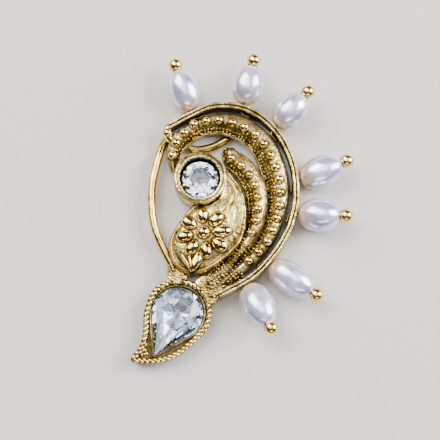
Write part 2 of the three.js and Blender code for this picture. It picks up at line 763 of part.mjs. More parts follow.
// Where a pin crosses the rim: the share of the rim's length, the point on its outer face, and how far out
// along the pin a pearl's flat end clears the rim, since the pin leans away from square to it
function pinStation(pearl) {
  const wanted = radians(pearl.bearing);
  const misses = rimEdge.map((point) => Math.abs(Math.atan2(point.y, point.x) - wanted));
  const share = misses.indexOf(Math.min(...misses)) / (rimEdge.length - 1);
  const lean = rising(pearl).angleTo(outward(rimRoute.getTangentAt(share)));
  const seat = SEAT_GAP + (PEARL_FLAT / 2) * Math.tan(lean);
  return { share, seat, point: rimRoute.getPointAt(share).setZ(PIN_HEIGHT) };
}

function pinHole(pearl) {
  const { point } = pinStation(pearl);
  const along = rising(pearl);
  const inside = point.clone().addScaledVector(along, -RIM_WALL - HOLE_OVERRUN);
  const outside = point.clone().addScaledVector(along, HOLE_OVERRUN);
  return wire([inside, outside], PIN_WIRE + 2 * HOLE_CLEARANCE, RING_SIDES);
}

function pearlBody(pearl) {
  const { radius, half, flat, mouth } = pearlShape(pearl);
  const start = Math.acos(flat / half);
  const end = Math.PI - Math.acos(mouth / half);
  const outside = steps(PEARL_BANDS + 1).map((index) => {
    const turn = start + ((end - start) * index) / PEARL_BANDS;
    return new THREE.Vector2(Math.sin(turn) * radius, -Math.cos(turn) * half);
  });
  const bore = [mouth - MOUTH_DEPTH, -flat].map((height) => new THREE.Vector2(PEARL_BORE / 2, height));
  const profile = [...outside, ...bore, outside[0]];
  const mesh = new THREE.Mesh(toGeometry(toSolid(new THREE.LatheGeometry(profile, PEARL_SIDES))), PEARL);
  const { point, seat } = pinStation(pearl);
  mesh.quaternion.setFromUnitVectors(new THREE.Vector3(0, 1, 0), rising(pearl));
  mesh.position.copy(point).addScaledVector(rising(pearl), flat + seat);
  return mesh;
}

// A ball, a shank through the pearl and the rim, and a tail bent over along the back of the rim
function pinBody(pearl) {
  const { share, seat, point } = pinStation(pearl);
  const along = rising(pearl);
  const proud = Math.sqrt(PIN_BALL ** 2 - PEARL_MOUTH ** 2) / 2;
  const ball = point.clone().addScaledVector(along, seat + PEARL_LENGTH * pearl.length + SEAT_GAP + proud);
  const depth = RIM_WALL + TAIL_CLEARANCE + PIN_WIRE / 2;
  const turn = point.clone().addScaledVector(along, -RIM_WALL);
  const behind = (distance) => {
    const at = Math.min(share + distance / rimRoute.getLength(), 1);
    const side = outward(rimRoute.getTangentAt(at));
    return rimRoute.getPointAt(at).addScaledVector(side, -depth).setZ(turn.z);
  };
  const path = [ball, turn, behind(PIN_WIRE), behind(PIN_TAIL / 2), behind(PIN_TAIL)];
  return join([lump(ball, PIN_BALL, PIN_BALL, PIN_BALL), wire(path, PIN_WIRE, WIRE_SIDES)]);
}

function casting() {
  const metal = join([
    rimBand(),
    feather(outerStations, FEATHER_CREST),
    ...beadRow(OUTER_FEATHER, OUTER_BEADS, BEAD_PITCH, BEAD_DIAMETER, FEATHER_CREST),
    ...knob(),
    feather(innerStations, INNER_CREST),
    ...beadRow(INNER_FEATHER, INNER_BEADS, INNER_BEAD_PITCH, INNER_BEAD_DIAMETER, INNER_CREST),
    paisleyDome(0, 0).subtract(paisleyDome(PAISLEY_WALL, -CLEAR)),
    ...flowerHead(),
    ...leaves(),
    ...neckRidges(),
    collet(),
    dropPlate(),
    rope(),
    plate(FOOT_PLATE.map((point) => place(point)), FEATHER_EDGE, PLATE_HEIGHT + FEATHER_EDGE),
    plate(BRIDGE_PLATE.map((point) => place(point)), FEATHER_EDGE, PLATE_HEIGHT + FEATHER_EDGE),
    ringWire(),
  ]);
  const cuts = [
    stoneSeat(roundShape, COLLET_GAP, roundPlace, COLLET_HEIGHT),
    stoneSeat(pearShape, SEAT_GAP, pearPlace, PAISLEY_CREST),
    ...PEARLS.map(pinHole),
  ];
  return cuts.reduce((body, cut) => body.subtract(cut), metal);
}

const jewel = new THREE.Group();

function addNode(name, mesh) {
  mesh.name = name;
  jewel.add(mesh);
}

function stoneMesh(shape, middle) {
  const mesh = new THREE.Mesh(cutStone(shape), CRYSTAL);
  mesh.position.copy(middle);
  return mesh;
}

addNode("frame", new THREE.Mesh(toGeometry(casting()), GOLD));
addNode("round_stone", stoneMesh(roundShape, roundPlace));
addNode("pear_stone", stoneMesh(pearShape, pearPlace));
PEARLS.forEach((pearl, index) => {
  addNode(`pearl_${index + 1}`, pearlBody(pearl));
  addNode(`pin_${index + 1}`, new THREE.Mesh(toGeometry(pinBody(pearl)), GOLD));
});

// The origin is below the middle of the whole jewel, on the plane that it lies on
const extent = new THREE.Box3().setFromObject(jewel, true);
const middle = extent.getCenter(new THREE.Vector3());
jewel.position.set(-middle.x, -middle.y, -extent.min.z);

const nath = new THREE.Group();
nath.add(jewel);

export default nath;
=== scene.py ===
"""A nath, a press-on nose ring: antique gold casting, two foil-backed stones and seven pearls.

Sizes are in millimetres, laid out from the middle of the rim's curve as in the part's source.
MM and the round stone's place in the frame take them to the frame.
"""

import random
from collections import namedtuple
from functools import partial
from math import acos, asin, cos, degrees, hypot, pi, radians, sin, sqrt, tan, tau

import bmesh
import bpy
import numpy as np
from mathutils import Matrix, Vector, noise
from numpy.linalg import norm


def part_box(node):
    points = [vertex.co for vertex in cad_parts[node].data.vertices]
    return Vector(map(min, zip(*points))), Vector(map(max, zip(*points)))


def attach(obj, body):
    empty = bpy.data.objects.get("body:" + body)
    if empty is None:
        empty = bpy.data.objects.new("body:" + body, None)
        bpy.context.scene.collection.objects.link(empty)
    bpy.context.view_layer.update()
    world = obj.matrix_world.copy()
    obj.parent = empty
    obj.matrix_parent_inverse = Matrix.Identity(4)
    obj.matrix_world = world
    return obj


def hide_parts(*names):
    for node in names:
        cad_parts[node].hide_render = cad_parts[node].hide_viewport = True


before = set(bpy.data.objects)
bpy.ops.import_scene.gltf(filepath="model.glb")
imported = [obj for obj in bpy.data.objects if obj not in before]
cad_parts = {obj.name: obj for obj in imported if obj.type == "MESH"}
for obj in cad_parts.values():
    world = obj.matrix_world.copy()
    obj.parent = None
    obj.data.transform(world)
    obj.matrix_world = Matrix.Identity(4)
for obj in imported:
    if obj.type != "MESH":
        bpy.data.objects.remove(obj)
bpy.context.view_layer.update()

MM = 0.001

# Pearls and pins
PEARL_LENGTH = 6
PEARL_WIDTH = 4.4
PEARL_FLAT = 1.9
PEARL_MOUTH = 1.4
MOUTH_DEPTH = 0.3
PEARL_BORE = 0.8
PIN_WIRE = 0.4
PIN_BALL = 1.85
PIN_TAIL = 1.5
# Collar under a ball: radius, and height from the pearl's mouth
PIN_COLLAR = [(0.05, 0.02), (0.62, 0.02), (0.74, 0.1), (0.74, 0.2), (0.62, 0.28), (0.05, 0.28)]
TAIL_CLEARANCE = 0.06
SEAT_GAP = 0.12
REST_GAP = 0.02
# Rim
RIM_HALF_WIDTH = 10
RIM_HALF_HEIGHT = 12
RIM_WALL = 0.8
RIM_ABOVE_PIN = 1.3
RIM_STEPS = 300
FOOT_CHAMFER = 0.06
# Half of the rim's top, from edge to groove: depth into the wall, and height from the top
RIM_TOP = [
    (0, -0.16), (0.03, -0.07), (0.1, -0.01), (0.2, 0), (0.29, -0.04), (0.345, -0.128),
    (0.385, -0.16),
]
# Feathers
FEATHER_REACH = 1.7
FEATHER_CREST = 3.1
FEATHER_EDGE = 0.6
FEATHER_LIP = 0.3
BEAD_DIAMETER = 1.27
BEAD_PITCH = 1.74
INNER_REACH = 1.3
INNER_CREST = 3.3
INNER_BEAD_DIAMETER = 1.1
INNER_BEAD_PITCH = 1.62
BEAD_PROUD = 0.06
JOIN_OVERLAP = 0.3
GRAIN = 0.42  # soldered grains on the feathers' slopes, coarser than real ones so that they show
# A feather's rolled lip: share of its width from the edge, and height above the edge
LIP_TOP = [(1.0, -0.12), (0.85, 0.02), (0.62, 0.15), (0.38, 0.17), (0.15, 0.08), (0, -0.06)]
# Paisley body
PAISLEY_WIDTH = 10.35
PAISLEY_LENGTH = 14.2
PAISLEY_EDGE = 2.4
PAISLEY_CREST = 3.9
PAISLEY_WALL = 0.8
BORDER_WIDTH = 0.55
BORDER_RISE = 0.3
FURROW_INSET, FURROW_WIDTH, FURROW_DEPTH = 0.62, 0.14, 0.1
PETAL_LENGTH = 2.5
PETAL_WIDTH = 1.75
PETAL_RISE = 0.55
FLOWER_RADIUS = 2.35
FLOWER_BEAD = 1.9
LEAF_LENGTH = 3
LEAF_WIDTH = 1
# Collet and round stone
STONE_RADIUS = 2.4
COLLET_GAP = 0.27
COLLET_WALL = 0.8
COLLET_HEIGHT = 4.6
# The collet's rim, from its outer edge inwards: depth into the wall, and height from the top
COLLET_TOP = [
    (0, -0.2), (0.04, -0.07), (0.14, 0), (0.27, -0.03), (0.36, -0.13), (0.44, -0.12),
    (0.52, -0.02), (0.64, 0), (0.75, -0.05),
]
STONE_DEPTH = 0.75
STONE_CROWN = 0.7
STONE_PAVILION = 1.6
GIRDLE = 0.2
# Drop
PEAR_RADIUS = 3.35
PEAR_LENGTH = 9.75
PEAR_PAVILION = 0.95
PEAR_ANGLE = 241.7
DROP_RADIUS = 4.2
DROP_FLOOR = 0.35
ROPE_WIDTH = 0.8
ROPE_LAY = 0.69
ROPE_LIFT = 0.3
ROPE_STRAND = 0.56  # share of the rope's width
TIP_GRAINS = 16
PLATE_HEIGHT = 1.5
# Bezel round the pear stone: distance from its girdle, and height from the plate's top
BEZEL = [(0.42, 0), (0.36, 0.16), (0.26, 0.2), (0.16, 0.14), (SEAT_GAP, -0.05)]
# Ring wire
RING_WIRE = 1.1
RING_HEIGHT = 1.6
CLIP_CLEARANCE = 0.08

FEATHER_LIFT = RING_WIRE + 2 * CLIP_CLEARANCE
TAIL_SPACE = PIN_WIRE + 2 * TAIL_CLEARANCE

# Each pearl: bearing of its hole in the rim, its pin's angle and rise, and its shares of the sizes
Pearl = namedtuple("Pearl", "bearing angle rise length width")
PEARLS = [
    Pearl(111.5, 109.5, 10, 0.94, 0.93),
    Pearl(77.4, 76.5, 12, 0.87, 0.98),
    Pearl(51.8, 47, 14, 0.89, 0.98),
    Pearl(8, 21.5, 11, 0.96, 0.98),
    Pearl(-17.4, -5, 15, 0.92, 1.03),
    Pearl(-58, -35.5, 10, 1.07, 0.99),
    Pearl(-76.2, -63.2, 22, 1.02, 1.04),
]

# Places are shares of the rim's half width and half height
COLLET_PLACE = (-0.316, 0.112)
FLOWER_PLACE = (-0.273, -0.488)
DROP_PLACE = (-0.613, -1.351)
KNOB_PLACE = (-0.752, 0.65)
RIM_START = (-0.756, 0.75)
RIM_BEARINGS = (120, -40, 20)
RIM_RUN = [(0.464, -0.943), (0.219, -1.08), (-0.053, -1.195)]

# Bead rows: place, reach to the outer and inner edge as shares, and height of the crest as a share
OUTER_FEATHER = [
    (-0.678, 0.215, 0.15, 0.2, 0.3), (-0.686, 0.376, 0.52, 0.6, 0.9),
    (-0.633, 0.53, 0.55, 0.8, 1), (-0.404, 0.73, 1, 1, 1),
    (-0.077, 0.781, 1, 0.95, 1), (0.245, 0.708, 1, 0.98, 1),
    (0.509, 0.535, 0.95, 1.08, 1), (0.673, 0.27, 0.85, 1.18, 1),
    (0.747, -0.013, 0.7, 1.14, 1), (0.703, -0.31, 0.55, 1, 1),
    (0.564, -0.586, 0.5, 0.95, 1), (0.325, -0.794, 0.5, 0.8, 0.9),
    (0.02, -0.997, 0.6, 0.6, 0.6), (-0.11, -1.08, 0.35, 0.35, 0.3),
]
INNER_FEATHER = [
    (0.085, 0.49, 0.4, 0.5, 0.3), (0.08, 0.435, 0.95, 0.9, 0.8),
    (0.1, 0.352, 1.2, 0.9, 1), (0.233, 0.265, 1.2, 1.05, 1),
    (0.332, 0.166, 1.2, 1.1, 1), (0.404, 0.044, 1, 1.1, 1),
    (0.447, -0.16, 1, 1.05, 1), (0.419, -0.36, 1, 0.95, 1),
    (0.28, -0.621, 1, 1, 0.8), (0.107, -0.812, 1, 1, 0.6),
    (-0.12, -0.96, 0.8, 0.8, 0.4), (-0.24, -1.03, 0.4, 0.4, 0.2),
]
INNER_JOINED = (5, 9)  # the rows between which the inner feather runs into the outer one

PAISLEY = [
    (0.277, 0.62), (0.403, 0.535), (0.5, 0.423), (0.557, 0.282), (0.562, 0.092),
    (0.47, -0.102), (0.239, -0.264), (0.036, -0.352), (-0.177, -0.38), (-0.351, -0.31),
    (-0.438, -0.169), (-0.428, -0.049), (-0.302, 0.12), (-0.129, 0.268), (0.016, 0.324),
    (0.171, 0.373), (0.248, 0.479),
]
PAISLEY_DOME = [(0, 1), (0.12, 1), (0.4, 0.94), (0.7, 0.72), (0.9, 0.36), (1, 0)]
# Flowing ridges cast into the body: half width and height in mm, then the places of their line
PAISLEY_RIDGES = [
    (0.24, 0.42, [(0.04, 0.176), (0.143, 0.049), (0.129, -0.066), (0.047, -0.239), (0.02, -0.354)]),
    (0.22, 0.3, [(0.09, 0.06), (0.095, -0.1), (0.03, -0.19), (-0.03, -0.25)]),
    (0.2, 0.22, [(0.0, 0.06), (-0.02, -0.05), (-0.08, -0.14), (-0.16, -0.19)]),
    (0.55, 0.34, [(0.16, 0.06), (0.213, -0.06), (0.26, -0.2), (0.248, -0.36), (0.17, -0.52)]),
]
# Petals: angle, share of the flower's radius, and shares of a petal's length and width
PETALS = [
    (4, 1.05, 1.08, 0.92), (46, 1.03, 0.95, 0.95), (93, 0.95, 0.88, 0.9),
    (145, 0.96, 0.95, 0.98), (192, 1.05, 0.95, 0.95), (233, 1.06, 0.95, 0.85),
    (279, 1.02, 0.95, 0.92), (323, 1.12, 0.98, 1.05),
]
LEAF_FOOT = (-0.43, -0.925)
# Leaves at the foot of the flower: angle, and shares of a leaf's length and width
LEAVES = [(117, 1, 0.6), (97, 0.9, 0.45), (66, 1.02, 1.35)]

ROPE_ROUND = (100, -55, 31)
ROPE_TIP = [
    (-0.14, -1.364), (-0.62, -1.5), (-0.99, -1.515), (-1.36, -1.46), (-1.18, -1.2),
    (-1.06, -0.94), (-0.99, -0.576), (-0.957, 0.064), (-0.676, 0.71), (-0.338, 0.929),
]
FOOT_PLATE = [(-0.725, -0.82), (-0.64, -0.82), (-0.5, -0.95), (-0.53, -1.02), (-0.72, -1.02)]
BRIDGE_PLATE = [
    (-0.1, -0.95), (0.0, -1.04), (-0.04, -1.17), (-0.11, -1.25), (-0.19, -1.28),
    (-0.24, -1.22), (-0.32, -1.1), (-0.38, -1.02), (-0.3, -0.95),
]
RING_ROUTE = [
    (-0.66, -0.875, 0.7), (-0.693, -0.815, 0.8), (-0.827, -0.6, 1), (-0.927, -0.375, 1),
    (-0.96, -0.127, 1), (-0.947, 0.122, 1), (-0.88, 0.359, 0.9), (-0.832, 0.5, 0.5),
    (-0.775, 0.594, 0.05), (-0.695, 0.623, 0), (-0.595, 0.592, 0), (-0.49, 0.522, 0),
    (-0.39, 0.488, 0), (-0.16, 0.52, 0), (-0.04, 0.568, 0), (0.04, 0.61, 0),
]

# Dark wax, from 0 to 1: how much the deepest hollows hold, which is also the darkness of painted
# shade on walls in shade, and how far it reaches in mm
WAXED_AND_SHADED = 0.9
BEAD_WAX = 0.3
PETAL_WAX = 0.28

GOLD_SLOT, PEARL_SLOT, CRYSTAL_SLOT = "gold", "pearl", "crystal"
draw = random.Random(7)
noise.seed_set(7)


def place(share, z=0.0):
    """A share of the rim's half sizes as a point in mm."""
    return np.array([share[0] * RIM_HALF_WIDTH, share[1] * RIM_HALF_HEIGHT, z])


def heading(angle, length=1.0, rise=0.0):
    """A vector at an angle in the plan, rising by an angle, in degrees."""
    turn, lift = radians(angle), radians(rise)
    flat = cos(lift)
    return np.array([cos(turn) * flat, sin(turn) * flat, sin(lift)]) * length


def unit(vector):
    return vector / norm(vector)


# From the rim's middle to the frame's origin, both on the plane that the jewel lies on
STONE_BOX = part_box("round_stone")
TO_FRAME = (np.array((STONE_BOX[0] + STONE_BOX[1]) / 2) / MM - place(COLLET_PLACE)) * (1, 1, 0)


def smooth_line(points, closed=False, per_span=24):
    """Points along a centripetal curve through the given ones, evenly many in each span."""
    p = np.array(points, float)
    ends = (p[-1:], p[:2]) if closed else (2 * p[:1] - p[1:2], 2 * p[-1:] - p[-2:-1])
    p = np.vstack([ends[0], p, ends[1]])
    t = np.linspace(0, 1, per_span, endpoint=False)[:, None]
    spans = []
    for a, b, c, d in zip(p, p[1:], p[2:], p[3:]):
        g, h, k = (sqrt(max(norm(s), 1e-9)) for s in (b - a, c - b, d - c))
        out = ((b - a) / g - (c - a) / (g + h) + (c - b) / h) * h
        back = ((c - b) / h - (d - b) / (h + k) + (d - c) / k) * h
        curve = b + out * t + (3 * (c - b) - 2 * out - back) * t**2
        spans.append(curve + (2 * (b - c) + out + back) * t**3)
    return np.vstack([*spans, p[-2:-1]])


class Route:
    """A smooth line that is read at shares of its length."""

    def __init__(self, points, closed=False):
        self.line = smooth_line(points, closed)
        gaps = norm(np.diff(self.line[:, :3], axis=0), axis=1)
        self.reach = np.concatenate([[0], np.cumsum(gaps)])
        self.length = self.reach[-1]

    def at(self, share):
        return np.array([np.interp(share * self.length, self.reach, row) for row in self.line.T])

    def along(self, share):
        step = 0.002
        return unit(self.at(min(share + step, 1)) - self.at(max(share - step, 0)))

    def knot(self, share):
        """How far through its points, from 0 to 1, a share of the length is."""
        return np.interp(share * self.length, self.reach, np.linspace(0, 1, len(self.line)))

    def spaced(self, count):
        return np.array([self.at(i / count) for i in range(count + 1)])


def outward(tangent):
    return unit(np.array([-tangent[1], tangent[0], 0]))


def nearest(points, target):
    return np.min(norm(points[:, :2] - target[:2], axis=1))


def loft(rings, loop=False):
    """Vertices and faces of a closed skin over rings of points."""
    rings = np.array(rings, float)
    count, size = rings.shape[:2]
    index = np.arange(count * size).reshape(count, size)
    faces = []
    for i in range(count if loop else count - 1):
        near, far = index[i], index[(i + 1) % count]
        faces += [(near[k], near[(k + 1) % size], far[(k + 1) % size], far[k]) for k in range(size)]
    if not loop:
        faces += [tuple(index[0][::-1]), tuple(index[-1])]
    return rings.reshape(-1, 3), faces


def turned(profile, middle, along, sides, shape=None):
    """A round body: rows of (radius, height) turned about an axis through its middle."""
    along = np.array(along, float)
    side = unit(np.cross(along, (0, 0, 1) if abs(along[2]) < 0.9 else (1, 0, 0)))
    across = np.cross(along, side)
    angles = np.arange(sides) * tau / sides
    rings = []
    for radius, height in profile:
        reach = radius * (shape(angles, height) if shape else np.ones(sides))
        ring = middle + along * height + np.outer(np.cos(angles) * reach, side)
        rings.append(ring + np.outer(np.sin(angles) * reach, across))
    return loft(rings)


def lump(middle, length, width, height, angle=0.0, sides=24, levels=12, point=0.0):
    """A rounded lump, longest along its angle. With a point, its near end narrows."""
    turns = np.linspace(0.02, pi - 0.02, levels)
    angles = np.arange(sides) * tau / sides
    out, side = heading(angle), heading(angle + 90)
    rings = []
    for turn in turns:
        x = np.cos(angles) * sin(turn)
        y = np.sin(angles) * sin(turn) * (1 + point * x)
        ring = np.outer(x * length / 2, out) + np.outer(y * width / 2, side)
        ring[:, 2] += cos(turn) * height / 2
        rings.append(middle + ring)
    return loft(rings)


def granule(middle, size, width=1, height=1, sides=10, levels=6):
    """A small lump at a random angle. Its width and height are shares of its size."""
    return lump(middle, size, size * width, size * height, draw.uniform(0, 180), sides, levels)


def tube(points, diameter, sides, loop=False):
    """A round wire along points, with rounded ends unless it is a loop."""
    points = np.array(points, float)
    widths = np.full(len(points), diameter)
    if not loop:
        points, widths = round_ends(points, diameter)
    side, last = np.array([0, 0, 1.0]), len(points) - 1
    turns = np.arange(sides) * tau / sides
    rings = []
    for i, (point, half) in enumerate(zip(points, widths / 2)):
        before = points[i - 1] if loop else points[max(i - 1, 0)]
        after = points[(i + 1) % len(points)] if loop else points[min(i + 1, last)]
        along = unit(after - before)
        side = unit(side - along * side.dot(along))
        across = np.cross(along, side)
        ring = point + np.outer(np.cos(turns), side) * half
        rings.append(ring + np.outer(np.sin(turns), across) * half)
    return loft(rings, loop)


def round_ends(points, diameter):
    """Extra points beyond both ends, with the widths that round them."""
    steps = [0.97, 0.8, 0.5]
    head, tail = unit(points[0] - points[1]), unit(points[-1] - points[-2])
    before = [points[0] + head * s * diameter / 3 for s in steps]
    after = [points[-1] + tail * s * diameter / 3 for s in reversed(steps)]
    narrow = [diameter * sqrt(1 - s * s) for s in steps]
    line = np.vstack([before, points, after])
    return line, np.array([*narrow, *([diameter] * len(points)), *reversed(narrow)])


def joined(parts):
    """Several skins as one."""
    points, faces, first = [], [], 0
    for part_points, part_faces in parts:
        points.append(part_points)
        faces += [tuple(int(c) + first for c in face) for face in part_faces]
        first += len(part_points)
    return np.vstack(points), faces


def uneven(skin, size, reach):
    """The skin with the slight unevenness of a hand-finished casting."""
    points, faces = skin
    shift = [noise.noise_vector(Vector(p) / size) for p in points]
    return points + np.array(shift) * reach, faces


def in_scene(name, data):
    thing = bpy.data.objects.new(name, data)
    bpy.context.scene.collection.objects.link(thing)
    return thing


def add_piece(name, skins, material, slot=GOLD_SLOT, replaced=("frame",), sharp=38, **paint):
    """A piece of the jewel. Paint gives its material a value for each point or face."""
    points, faces = joined(skins)
    mesh = bpy.data.meshes.new(name)
    mesh.from_pydata(((points + TO_FRAME) * MM).tolist(), [], faces)
    for label, values in paint.items():
        domain = "FACE" if len(values) == len(faces) else "POINT"
        layer = mesh.attributes.new(label, "FLOAT", domain)
        layer.data.foreach_set("value", np.array(values, np.float32))
    body = bmesh.new()
    body.from_mesh(mesh)
    bmesh.ops.recalc_face_normals(body, faces=body.faces)
    body.to_mesh(mesh)
    body.free()
    mesh.shade_smooth()
    mesh.set_sharp_from_angle(angle=radians(sharp))
    mesh.materials.append(material)
    piece = in_scene(name, mesh)
    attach(piece, "root")
    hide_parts(*replaced)


# Materials


def linear(code):
    """An sRGB hex value as linear red, green, blue and alpha."""
    parts = [int(code[i : i + 2], 16) / 255 for i in (1, 3, 5)]
    return (*[c / 12.92 if c <= 0.04045 else ((c + 0.055) / 1.055) ** 2.4 for c in parts], 1)


def add_node(tree, kind, inputs=None, output=0, stops=None, **settings):
    """Adds a node and gives one of its outputs. Inputs that are sockets are linked, and others set.
    Stops are a ramp's places and colours. A text is an sRGB hex value."""
    new = tree.nodes.new(f"ShaderNode{kind}")
    for key, value in settings.items():
        setattr(new, key, value)
    for key, value in (inputs or {}).items():
        if isinstance(value, bpy.types.NodeSocket):
            tree.links.new(value, new.inputs[key])
        else:
            new.inputs[key].default_value = linear(value) if isinstance(value, str) else value
    if stops:
        band = new.color_ramp.elements
        while len(band) < len(stops):
            band.new(0.5)
        for element, (position, colour) in zip(band, stops):
            element.position = position
            element.color = linear(colour) if isinstance(colour, str) else (*[colour] * 3, 1)
    return new if output is None else new.outputs[output]


def new_material(name):
    """An empty material, add_node for its tree, and the place on the object in metres."""
    material = bpy.data.materials.new(name)
    material.use_nodes = True
    material.node_tree.nodes.clear()
    node = partial(add_node, material.node_tree)
    return material, node, node("TexCoord", output="Object")


def show(node, **finish):
    """Ends a material with its surface, whose finish is given by the sockets' names."""
    names = [key.replace("_", " ").title().replace("Ior", "IOR") for key in finish]
    surface = node("BsdfPrincipled", dict(zip(names, finish.values())))
    node("OutputMaterial", {"Surface": surface}, output=None)


WAX_AND_SHADE = "#201909"  # the dark finish left in the hollows, also painted as shade where a piece marks it
COPPER = "#b57a4e"  # a coppery tint that the body takes near its edge


def antique_gold(
    name, light, deep, stipple=0.28, depth=0.03, rough=0.24, reach=0.35, pits=0.3, copper=None
):
    """Gold-plated brass casting with an antique finish: brown in the hollows, rubbed bright on top.

    To the eye: yellow glints, brown-black outlines as wide as reach, in mm, and a sandy grain whose
    pits hold the dark. The real grain is about 0.1 mm, drawn at the stipple, in mm, to show."""
    material, node, where = new_material(name)
    pattern = {"Vector": where, "Scale": 1 / (stipple * MM)}
    grain = node("TexVoronoi", pattern, feature="SMOOTH_F1")
    mottle = node("TexNoise", {"Vector": where, "Scale": 1 / (1.3 * MM), "Detail": 4})
    specks = node("TexNoise", {"Vector": where, "Scale": 1 / (0.3 * MM), "Detail": 3})
    metal = node("ValToRGB", {"Fac": mottle}, stops=[(0.36, deep), (0.6, light)])
    if copper:
        worn = node("Attribute", output="Fac", attribute_name=copper)
        metal = node("Mix", {0: worn, 6: metal, 7: COPPER}, 2, data_type="RGBA")
    hollow = node("AmbientOcclusion", {"Distance": reach * MM}, "AO", samples=8)
    gathered = node("Math", {0: specks, 1: 0.3, 2: hollow}, operation="MULTIPLY_ADD")
    rubbed = node("ValToRGB", {"Fac": gathered}, stops=[(0.5, 0.0), (0.78, 0.5), (1.04, 1.0)])
    pitted = node("ValToRGB", {"Fac": grain}, stops=[(0.14, 1 - pits), (0.6, 1.0)])
    # Dark wax that a piece marks, together with painted shade on those of its parts that lie in
    # shade
    grime = node("Attribute", output="Fac", attribute_name="grime")
    free_of_wax_and_shade = node("Math", {0: 1.0, 1: grime}, operation="SUBTRACT")
    bare = node("Math", {0: rubbed, 1: pitted}, operation="MULTIPLY")
    metal_share = node("Math", {0: bare, 1: free_of_wax_and_shade}, operation="MULTIPLY")
    colour = node("Mix", {0: metal_share, 6: WAX_AND_SHADE, 7: metal}, 2, data_type="RGBA")
    gloss = node("MapRange", {"Value": metal_share, "To Min": 0.5, "To Max": rough})
    relief = node("Math", {0: specks, 1: 0.5, 2: grain}, operation="MULTIPLY_ADD")
    bump = node("Bump", {"Height": relief, "Strength": 1, "Distance": depth * MM})
    show(node, base_color=colour, metallic=1, roughness=gloss, normal=bump)
    return material


def drawn_gold_wire(name, light, deep):
    """Gold-plated drawn brass: smooth, with fine scuffs that soften its glints."""
    material, node, where = new_material(name)
    scuffs = node("TexNoise", {"Vector": where, "Scale": 1 / (0.8 * MM), "Detail": 5})
    metal = node("ValToRGB", {"Fac": scuffs}, stops=[(0.3, deep), (0.6, light)])
    hollow = node("AmbientOcclusion", {"Distance": 0.3 * MM}, "AO", samples=8)
    metal_share = node("ValToRGB", {"Fac": hollow}, stops=[(0.2, 0.0), (0.7, 1.0)])
    # Painted shade where a piece marks it: the pins' tails behind the rim and the ring wire's free
    # end
    grime = node("Attribute", output="Fac", attribute_name="grime")
    edged = node("Mix", {0: metal_share, 6: "#3c270d", 7: metal}, 2, data_type="RGBA")
    colour = node("Mix", {0: grime, 6: edged, 7: WAX_AND_SHADE}, 2, data_type="RGBA")
    gloss = node("MapRange", {"Value": scuffs, "To Min": 0.1, "To Max": 0.3})
    bump = node("Bump", {"Height": scuffs, "Strength": 0.6, "Distance": 0.02 * MM})
    show(node, base_color=colour, metallic=1, roughness=gloss, normal=bump)
    return material


def dipped_pearl():
    """Imitation pearl: a bead dipped in lacquer with pearl essence, whose tiny plates glow softly.
    White with a lavender cast, long bright streaks and pink edges, and a painted reflection of the
    gold rim, in beige, on the end next to it."""
    material, node, where = new_material("dipped_pearl")
    along = node("Attribute", output="Fac", attribute_name="along")
    cloud = node("TexNoise", {"Vector": where, "Scale": 1 / (1.8 * MM), "Detail": 2})
    white = node("ValToRGB", {"Fac": cloud}, stops=[(0.35, "#b0b6da"), (0.65, "#efeffe")])
    # Painted reflection of the gold rim: beige on the pearl's end next to it
    gold_reflection = node("ValToRGB", {"Fac": along}, stops=[(0.0, 0.85), (0.3, 0.15), (0.5, 0.0)])
    colour = node("Mix", {0: gold_reflection, 6: white, 7: "#d6b795"}, 2, data_type="RGBA")
    bump = node("Bump", {"Height": cloud, "Strength": 0.5, "Distance": 0.04 * MM})
    show(
        node, base_color=colour, metallic=0.6, roughness=0.26, ior=1.53, normal=bump,
        coat_weight=1, coat_roughness=0.06,
        sheen_weight=0.3, sheen_roughness=0.35, sheen_tint="#e89cb0",
    )
    return material


def cut_glass():
    """Machine-cut lead glass: clear, with a faint blue cast and crisp facets."""
    material, node, where = new_material("cut_glass")
    haze = node("TexNoise", {"Vector": where, "Scale": 1 / (0.5 * MM), "Detail": 3})
    rough = node("MapRange", {"Value": haze, "To Min": 0.0, "To Max": 0.05})
    show(node, base_color="#e4ecf7", roughness=rough, ior=1.6, transmission_weight=1)
    return material


def silver_foil():
    """Pressed foil behind a stone, with the light that each facet throws back painted into its
    colour, from slate to blue-white.
    """
    material, node, where = new_material("silver_foil")
    flake = node("Attribute", output="Fac", attribute_name="flake")
    crumple = node("TexNoise", {"Vector": where, "Scale": 1 / (0.6 * MM), "Detail": 2})
    tone = node("Math", {0: crumple, 1: 0.35, 2: flake}, operation="MULTIPLY_ADD")
    steps = [(0.12, "#1c2435"), (0.36, "#8191ae"), (0.6, "#dbe4f3"), (0.85, "#ffffff")]
    colour = node("ValToRGB", {"Fac": tone}, stops=steps)
    show(node, base_color=colour, metallic=0.65, roughness=0.2)
    return material


def paper_floor():
    """Uncoated pale paper: matt, so that the jewel's glints stand out, with hardly any tooth. Real
    tooth is finer than 0.1 mm, and is drawn at 0.6 mm to show."""
    material, node, where = new_material("pale_paper")
    tooth = node("TexNoise", {"Vector": where, "Scale": 1 / (0.6 * MM), "Detail": 2})
    colour = node("ValToRGB", {"Fac": tooth}, stops=[(0.3, "#c1beb9"), (0.7, "#c7c4bf")])
    show(node, base_color=colour, roughness=0.85)
    return material


# Camera, floor and light

CAMERA_LOOKS_AT = (-0.538, -3.536, 0)  # the middle of the photograph, from the rim's middle
CAMERA_ELEVATION = 80
CAMERA_DISTANCE = 260
PHOTO_WIDTH = 58.67  # mm across the picture at the floor
SENSOR = 36
FLOOR_HALF = 600


